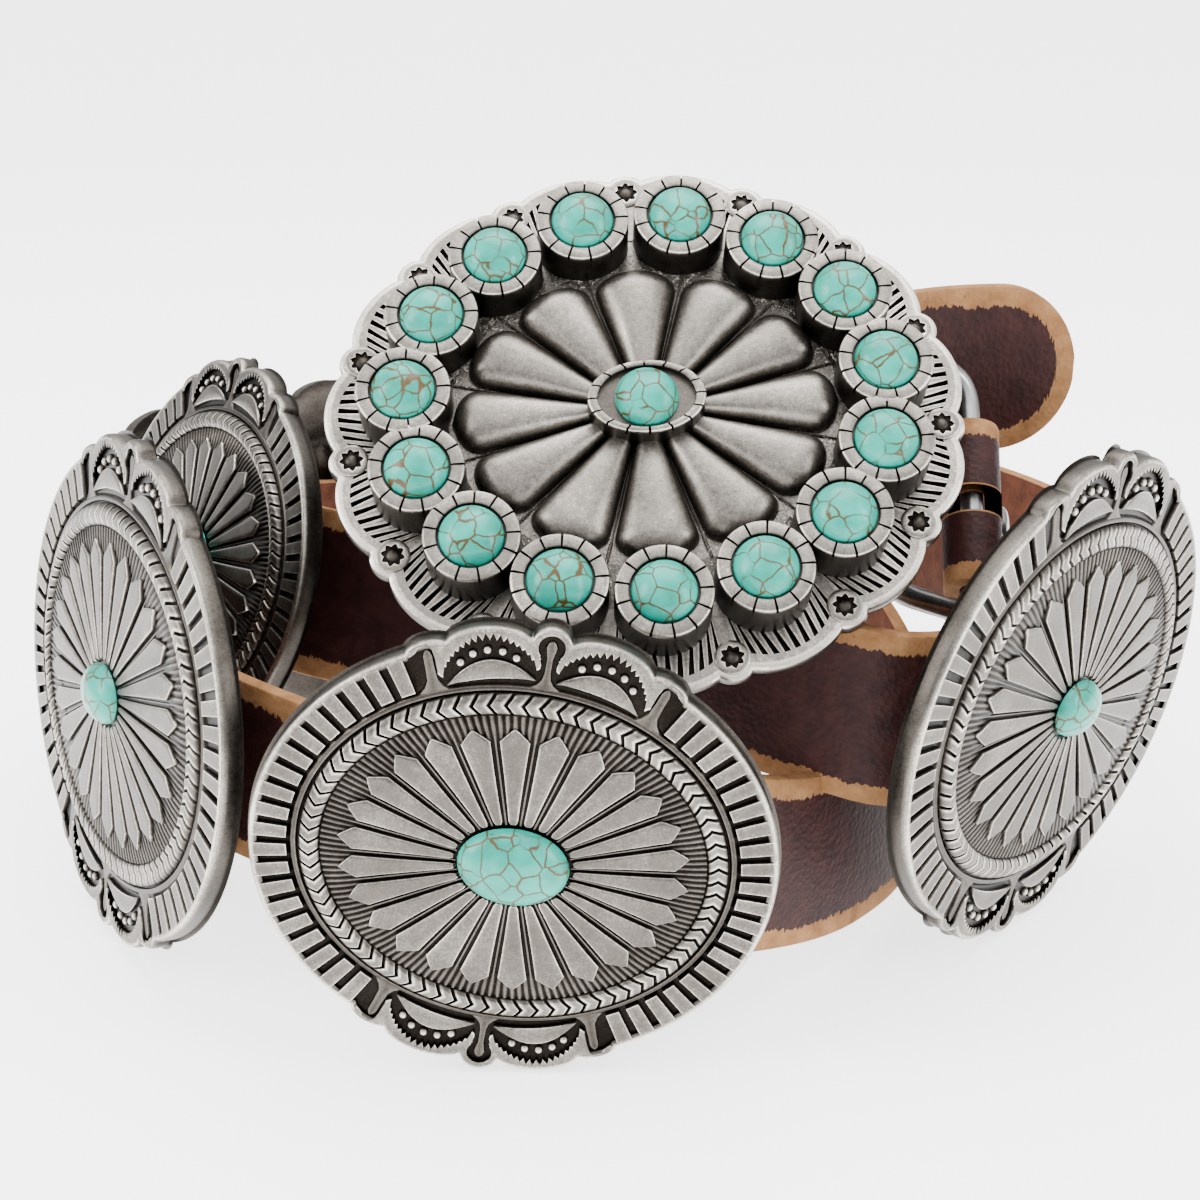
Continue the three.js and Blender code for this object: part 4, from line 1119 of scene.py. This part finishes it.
def buckle_petals(surface):
    """Twelve plump petals with round ends, thin ribs between them and a rough ground outside."""
    pitch = 2 * math.pi / BUCKLE_PETALS
    rows = []
    for part in BUCKLE_PETAL_PARTS:
        corner = max(part - 0.78, 0) / 0.185
        reach = 0.94 * math.sqrt(max(1 - min(corner, 1) ** 2.2, 0.0)) if part < 0.965 else 0.0
        crown = 0.74 + 0.26 * min(part / 0.5, 1)
        if part > 0.76:
            crown *= math.sqrt(max(1 - ((part - 0.76) / 0.206) ** 2, 0))
        half_mm = math.pi * (8.6 + 23 * part) / BUCKLE_PETALS
        rib = 0.22 / half_mm
        half_row = []
        for share in (0, 0.2, 0.4, 0.58, 0.72, 0.83, 0.91, 0.965, 1.0):
            swell = max(1 - share ** 3.0, 0) ** 0.62
            # shade is painted shade over the plain wear: the petals' flanks darker and their crests lighter,
            # as if lit from above.
            shade = 0.5 + 0.25 * min(swell * 1.15, 1) * min(0.3 + 0.9 * crown, 1)
            half_row.append((share * reach, BUCKLE_PETAL_RELIEF * crown * swell, shade))
        gap = min(reach + 0.05, 0.97)
        ground = 0.14 + 0.58 * float(smooth_step(0.5, 0.78, part))
        half_row += [(gap, 0.0, ground), (max(1 - 1.6 * rib, gap + 0.005), 0.0, ground),
                     (max(1 - 0.7 * rib, gap + 0.01), 0.4, 0.34), (1.0, 0.46, 0.44)]
        number, place, height, worn = repeated(mirrored(half_row)[:-1], BUCKLE_PETALS)
        turns = (number + place / 2) * pitch
        cos, sin = np.cos(turns), np.sin(turns)
        x0, y0 = (CENTRE_BEZEL_X - 0.2) * cos, (CENTRE_BEZEL_Y - 0.2) * sin
        grain = float(smooth_step(0.5, 0.8, part)) * (height < 0.5)
        rows.append((x0 + (FIELD_X * cos - x0) * part, y0 + (FIELD_Y * sin - y0) * part,
                     BUCKLE_FIELD_RISE - 0.1 + height, worn, grain))
    surface.add_rows(rows)


def buckle_ground(surface):
    """The ground under the bezels, from the petals' ends to the flange."""
    rings = []
    for part in (0.0, 0.2, 0.4, 0.6, 0.8, 1.0, 1.3):
        lift = BUCKLE_FIELD_RISE - 0.1 + (0.3 - BUCKLE_FIELD_RISE) * min(part, 1) - 1.4 * max(part - 1, 0)
        rings.append((FIELD_X * 0.995 + (RING_X - FIELD_X) * part,
                      FIELD_Y * 0.995 + (RING_Y - FIELD_Y) * part, lift, 0.72, 1.0 if part < 0.7 else 0.3))
    surface.add_rings(circle(360), rings)


def flange_section(surface, centre):
    """The flange round one bezel: flat bars that fan out, with dark wedges cut between them."""
    half = math.pi / STONE_COUNT
    pitch = 2 * FLANGE_SPREAD / FLANGE_SLOTS
    halves = np.array([BUCKLE_HALF_WIDTH, BUCKLE_HALF_HEIGHT])
    ring = np.array([RING_X, RING_Y])

    def towards(turns):
        return np.stack([np.cos(turns), np.sin(turns)], axis=-1)

    ends = []
    for middle in (centre - half, centre + half):
        share_end = float(buckle_edge(np.array([middle]))[0]) - FLANGE_INSET
        ends.append((ring * towards(middle), halves * share_end * towards(middle)))
    rows = []
    for index, (share, opening) in enumerate(FLANGE_PROFILE):
        places = [(-FLANGE_REACH, 1, 0.8)]
        w = opening * 0.5
        for k in range(FLANGE_SLOTS + 1):
            middle = -FLANGE_SPREAD + k * pitch
            # Slot edges at 0.95 are wear with a painted highlight; slot floors are dark patina.
            for offset, up, shine in ((-w, 1, 0.95), (-w + FLANGE_EDGE, 0, 0.02), (0.0, 0, 0.02),
                                      (w - FLANGE_EDGE, 0, 0.02), (w, 1, 0.95), (0.5, 1, 0.72)):
                places.append((middle + offset * pitch, up, shine))
        places.append((FLANGE_REACH, 1, 0.8))
        turns, raised, shine = np.array(places).T
        outer_turns = centre + np.clip(turns / FLANGE_REACH, -1, 1) * half * 0.955
        outline = buckle_edge(outer_turns) - FLANGE_INSET
        inside = ring * towards(centre) + (BEZEL_RADIUS - 0.4) * towards(centre + turns)
        outside = halves * outline[:, None] * towards(outer_turns)
        inside = np.vstack([ends[0][0], inside, ends[1][0]])
        outside = np.vstack([ends[0][1], outside, ends[1][1]])
        x, y = (inside + (outside - inside) * share).T
        if 2 <= index <= 5:
            raised = np.concatenate([[1], raised, [1]]) > 0
            shine = np.concatenate([[0.8], shine, [0.8]])
            rows.append((x, y, np.where(raised, FLANGE_TOP, FLANGE_FLOOR), np.where(raised, shine, 0.02)))
        else:
            rows.append((x, y, FLANGE_TOP, 0.8 if share < 0.97 else 1.0))
    surface.add_rows(rows, closed=False)


def flange_lobe(surface, middle):
    """The small round lobe between two scallops, with a starred recess."""
    reach = 0.99 - FLANGE_INSET
    centre = ((BUCKLE_HALF_WIDTH * reach - LOBE_RADIUS) * math.cos(middle),
              (BUCKLE_HALF_HEIGHT * reach - LOBE_RADIUS) * math.sin(middle))
    star = 1.5 + 0.62 * np.abs((np.arange(LOBE_SIDES) / 6) % 1 * 2 - 1)
    floor = FLANGE_TOP + 0.04
    top = FLANGE_TOP + 0.42
    # The lobe's edges at 0.95 are wear with a painted highlight; the starred recess is dark patina.
    levels = [(0.02, floor + 0.3, 0.42), (0.6, floor + 0.26, 0.36), (0.95, floor + 0.12, 0.3),
              (1.15, floor, 0.03), (star, floor, 0.02), (star + 0.05, top - 0.06, 0.95),
              (LOBE_HOLE + 0.25, top, 0.72), (LOBE_RADIUS - 0.25, top, 0.78),
              (LOBE_RADIUS - 0.02, top - 0.18, 0.95), (LOBE_RADIUS + 0.02, -0.3, 0.3)]
    surface.add_rings(circle(LOBE_SIDES) + middle, [(r, r, z, worn) for r, z, worn in levels], centre)


def buckle_rim_and_back(surface):
    fine = circle(STONE_COUNT * 64)
    edge = buckle_edge(fine)
    # The rim's bright crest is wear with a painted highlight; its darker outer wall is painted shade.
    add_rim(surface, fine, (BUCKLE_HALF_WIDTH, BUCKLE_HALF_HEIGHT), edge, BUCKLE_INSET,
            ((0.03, FLANGE_TOP - 0.04, 0.8), (0.02, FLANGE_TOP, 0.95), (0.01, 0.26, 1.0), (0.003, 0.06, 1.0),
             (0.0, -0.4, 0.8), (0.0, -1.5, 0.5), (0.003, -BUCKLE_RIM, 0.5)))
    rings = [(BUCKLE_HALF_WIDTH * (edge - 0.003), BUCKLE_HALF_HEIGHT * (edge - 0.003), -BUCKLE_RIM),
             (RING_X, RING_Y, -BUCKLE_RIM), (FIELD_X * 0.92, FIELD_Y * 0.92, -BUCKLE_RIM),
             (FIELD_X * 0.88, FIELD_Y * 0.88, -0.3), (FIELD_X * 0.6, FIELD_Y * 0.6, -0.2), (0.5, 0.5, -0.2)]
    surface.add_rings(fine, [(*ring, 0.42) for ring in rings], flip=False)


def bezel_cup(surface, centre, outer, seat, foot, top, blocks, floor_worn):
    """A cup with a rim cut into blocks: the walls are dark, darkest at the foot, and the blocks' tops are
    worn bright, with a painted highlight along their outer edge.
    """
    cell = [(0.0, 1), (0.035, 1), (0.06, 0), (0.28, 0), (0.5, 0), (0.72, 0), (0.94, 0), (0.965, 1)]
    number, place, notch = repeated(cell, blocks)
    turns = (number + place) * 2 * math.pi / blocks
    floor = top - BEZEL_SEAT_DEPTH
    # Rows of half axes, step outwards, height, wear with painted light and depth of the notch
    levels = [
        ((0.02, 0.02), 0, floor, floor_worn, 0), (seat, 0, floor, floor_worn, 0),
        (seat, 0, top - 0.12, 0.3, 0.5), (seat, 0.12, top - 0.02, 0.72, 1), (seat, 0.4, top + 0.05, 0.78, 1),
        (outer, -0.45, top + 0.05, 0.78, 1), (outer, -0.14, top - 0.08, 1.0, 1),
        (outer, 0, top - 0.36, 0.8, 1), (outer, 0, top - 0.95, 0.42, 0.4), (outer, 0, top - 1.5, 0.34, 0),
        (outer, 0, (top + foot) / 2, 0.24, 0), (outer, 0, foot + 1.0, 0.08, 0), (outer, 0, foot, 0.03, 0),
    ]
    rings = []
    for halves, step, height, worn, cut in levels:
        x, y = halves[0] + step, halves[1] + step
        drop = 0.75 * cut * notch * (1 if cut == 1 else 0.2)
        pull = 0.25 * cut * notch * (1 if x > outer[0] - 0.2 else 0)
        rings.append((x - pull, y - pull, height - drop, worn * (1 - 0.97 * notch * min(cut * 1.5, 1))))
    surface.add_rings(turns, rings, centre)


def hinge_ears(surface):
    """Two ears with a bore for the bail, whose legs run into the plate."""
    rise = -BUCKLE_RIM / 2 - HINGE_Z
    bore = WIRE_RADIUS + FIT_GAP
    outer = bore + EAR_WALL

    def arch(radius, y):
        bend = [(radius * math.cos(a + math.pi), radius * math.sin(a))
                for a in np.radians(np.linspace(180, 360, 13))[::-1]]
        return [HINGE_FRAME @ Vector((x, y, z)) for x, z in [(radius, rise), *bend, (-radius, rise)]]

    for side in (-1, 1):
        low = side * EAR_SPREAD / 2 - EAR_WIDTH / 2
        high = side * EAR_SPREAD / 2 + EAR_WIDTH / 2
        for first, second, flip in ((arch(outer, low), arch(bore, low), False),
                                    (arch(outer, high), arch(bore, high), True),
                                    (arch(outer, low), arch(outer, high), False),
                                    (arch(bore, low), arch(bore, high), True)):
            surface.add_grid(np.array([first, second]), closed=False, flip=flip, worn=0.5)


def build_buckle():
    plate = Surface("worn", "grain")
    buckle_petals(plate)
    buckle_ground(plate)
    for angle in bezel_angles():
        flange_section(plate, angle)
        flange_lobe(plate, angle + math.pi / STONE_COUNT)
    buckle_rim_and_back(plate)
    hinge_ears(plate)
    post(plate, (PRONG_INSET - BUCKLE_HALF_WIDTH, 0), PRONG_RADIUS, -BUCKLE_RIM - PRONG_REACH, -1, 24)
    cups = Surface("worn")
    seat = ROUND_STONE_RADIUS + FIT_GAP
    for angle in bezel_angles():
        bezel_cup(cups, (RING_X * math.cos(angle), RING_Y * math.sin(angle)), (BEZEL_RADIUS, BEZEL_RADIUS),
                  (seat, seat), -BUCKLE_RIM / 2, BEZEL_HEIGHT, BEZEL_BLOCKS, 0.4)
    bezel_cup(cups, (0, 0), (CENTRE_BEZEL_X, CENTRE_BEZEL_Y), (CENTRE_BEZEL_X - 1.8, seat),
              BUCKLE_FIELD_RISE / 2, CENTRE_BEZEL_RISE, CENTRE_BLOCKS, 0.55)
    for name, surface in (("buckle_plate_looks", plate), ("buckle_bezels_looks", cups)):
        place_piece(name, surface.mesh(name), BUCKLE_FRAME, [SILVER], "buckle")
    stone = cabochon_mesh("round_stone", ROUND_STONE_RADIUS, ROUND_STONE_RADIUS, ROUND_STONE_RISE)
    for index, angle in enumerate(bezel_angles()):
        place = Matrix.Translation((RING_X * math.cos(angle), RING_Y * math.sin(angle),
                                    BEZEL_HEIGHT - BEZEL_SEAT_DEPTH + FIT_GAP))
        place_piece(f"buckle_stone_looks_{index + 1:02d}", stone, BUCKLE_FRAME @ place, [TURQUOISE],
                    f"buckle_stone_{index + 1:02d}")
    place = Matrix.Translation((0, 0, CENTRE_BEZEL_RISE - BEZEL_SEAT_DEPTH + FIT_GAP))
    place_piece("buckle_centre_stone_looks", stone, BUCKLE_FRAME @ place, [TURQUOISE], "buckle_centre_stone")


# Bail and rivets

BAIL_CORNER = 7
WIRE_SIDES = 20
RIVET_SIDES = 32


def bend(start, control, end):
    """Nine points of a quadratic curve."""
    return [start * (1 - t) ** 2 + control * 2 * t * (1 - t) + end * t * t for t in np.linspace(0, 1, 9)]


def build_bail():
    half_length = STRAP_WIDTH / 2 - STRAP_ON_BAR + BAIL_SIDE_ROOM + WIRE_RADIUS
    straight = half_length - BAIL_CORNER
    path = []
    for turn in (1, -1):
        def at(x, y):
            return Vector((x if turn > 0 else BAIL_REACH - x, turn * y))
        first, second = at(0, -straight), at(0, straight)
        path += [first.lerp(second, j / 8) for j in range(8)] + [second]
        path += bend(second, at(0, half_length), at(BAIL_CORNER, half_length))[1:]
        path += bend(at(BAIL_REACH - BAIL_CORNER, half_length), at(BAIL_REACH, half_length),
                     at(BAIL_REACH, straight))[:-1]
    surface = Surface("worn")
    theta = circle(WIRE_SIDES)
    rows = []
    for index, point in enumerate(path):
        ahead = path[(index + 1) % len(path)] - path[index - 1]
        normal = Vector((ahead.y, -ahead.x)).normalized() * WIRE_RADIUS
        rows.append((point.x + normal.x * np.cos(theta), point.y + normal.y * np.cos(theta),
                     WIRE_RADIUS * np.sin(theta), 0))
    surface.add_rows(rows + rows[:1], flip=False)
    place_piece("bail_looks", surface.mesh("bail_looks"), BAIL_FRAME, [WIRE], "bail")


def build_rivets():
    grip = STRAP_THICKNESS + LAYER_PITCH + 2 * FIT_GAP
    head = grip / 2 + RIVET_HEAD
    upper = [(0.01, head), (1.6, head - 0.05), (2.9, head - 0.3), (3.7, head - 0.75),
             (RIVET_HEAD_RADIUS, grip / 2), (RIVET_RADIUS, grip / 2)]
    levels = upper + [(r, -z) for r, z in reversed(upper)]
    surface = Surface("worn")
    surface.add_rings(circle(RIVET_SIDES), [(r, r, z, 0) for r, z in levels], flip=False)
    mesh = surface.mesh("rivet_looks")
    for number, side in ((1, -1), (2, 1)):
        place = Matrix.Translation((RIVET_FROM_BAR, side * RIVET_SPREAD / 2, FOLD_RADIUS - LAYER_PITCH / 2))
        place_piece(f"fold_rivet_looks_{number}", mesh, FOLD_FRAME @ place, [WIRE],
                    f"fold_rivet_{number}")


# Stage, lights and camera, with places and sizes in metres and powers in watts

PAPER_COLOUR = (0.93, 0.93, 0.935)
PAPER_GLOW = 2.3
PAPER_REACH = 9.0
SKY = ((0.0, (0.5, 0.5, 0.51)), (0.35, (1.1, 1.1, 1.1)), (0.95, (3.0, 3.0, 3.05)))
TOP_LIGHT = {"place": (0.05, 0.1, 0.95), "target": (0, 0, 0.05), "size": (0.8, 0.6), "power": 10}
LEFT_LIGHT = {"place": (-0.85, -0.35, 0.55), "target": (0, 0, 0.06), "size": (0.4, 0.6), "power": 9}
RIGHT_LIGHT = {"place": (0.8, -0.45, 0.4), "target": (0, 0, 0.06), "size": (0.25, 0.5), "power": 5}
CAMERA_PLACE_MM = (0, -320, 179)
CAMERA_TILT = 70
FOCAL_PIXELS = 1823
PICTURE_PIXELS = 1200
SENSOR_WIDTH = 36


def build_stage():
    shader = Shader("paper")
    material = shader.finished({"Base Color": PAPER_COLOUR, "Roughness": 0.9, "Emission Color": (1, 1, 1),
                                "Emission Strength": PAPER_GLOW})
    corners = [(x * PAPER_REACH, y * PAPER_REACH, 0) for x, y in ((-1, -1), (1, -1), (1, 1), (-1, 1))]
    mesh = bpy.data.meshes.new("paper")
    mesh.from_pydata(corners, [], [(0, 1, 2, 3)])
    mesh.materials.append(material)
    floor = bpy.data.objects.new("paper", mesh)
    bpy.context.scene.collection.objects.link(floor)


def area_light(name, place, target, size, power):
    light = bpy.data.lights.new(name, "AREA")
    light.shape = "RECTANGLE"
    light.size, light.size_y = size
    light.energy = power
    lamp = bpy.data.objects.new(name, light)
    bpy.context.scene.collection.objects.link(lamp)
    lamp.location = place
    lamp.rotation_mode = "QUATERNION"
    lamp.rotation_quaternion = (Vector(target) - Vector(place)).to_track_quat("-Z", "Y")


def build_lights():
    world = bpy.data.worlds.new("studio")
    world.use_nodes = True
    tree = world.node_tree
    parts = tree.nodes.new("ShaderNodeSeparateXYZ")
    tree.links.new(tree.nodes.new("ShaderNodeTexCoord").outputs["Generated"], parts.inputs["Vector"])
    sky = add_ramp(tree, parts.outputs["Z"], SKY)
    tree.links.new(sky, tree.nodes["Background"].inputs["Color"])
    bpy.context.scene.world = world
    area_light("top", **TOP_LIGHT)
    area_light("left", **LEFT_LIGHT)
    area_light("right", **RIGHT_LIGHT)


def build_camera():
    """The photograph's camera: 20 degrees down, from 320 mm in front and 179 mm up."""
    data = bpy.data.cameras.new("camera")
    data.sensor_width = SENSOR_WIDTH
    data.lens = SENSOR_WIDTH * FOCAL_PIXELS / PICTURE_PIXELS
    camera = bpy.data.objects.new("camera", data)
    bpy.context.scene.collection.objects.link(camera)
    camera.location = TO_ROW @ Vector(CAMERA_PLACE_MM)
    camera.rotation_euler = (math.radians(CAMERA_TILT), 0, 0)
    bpy.context.scene.camera = camera


build_strap()
build_conchos()
build_buckle()
build_bail()
build_rivets()
build_stage()
build_lights()
build_camera()

bpy.context.view_layer.update()
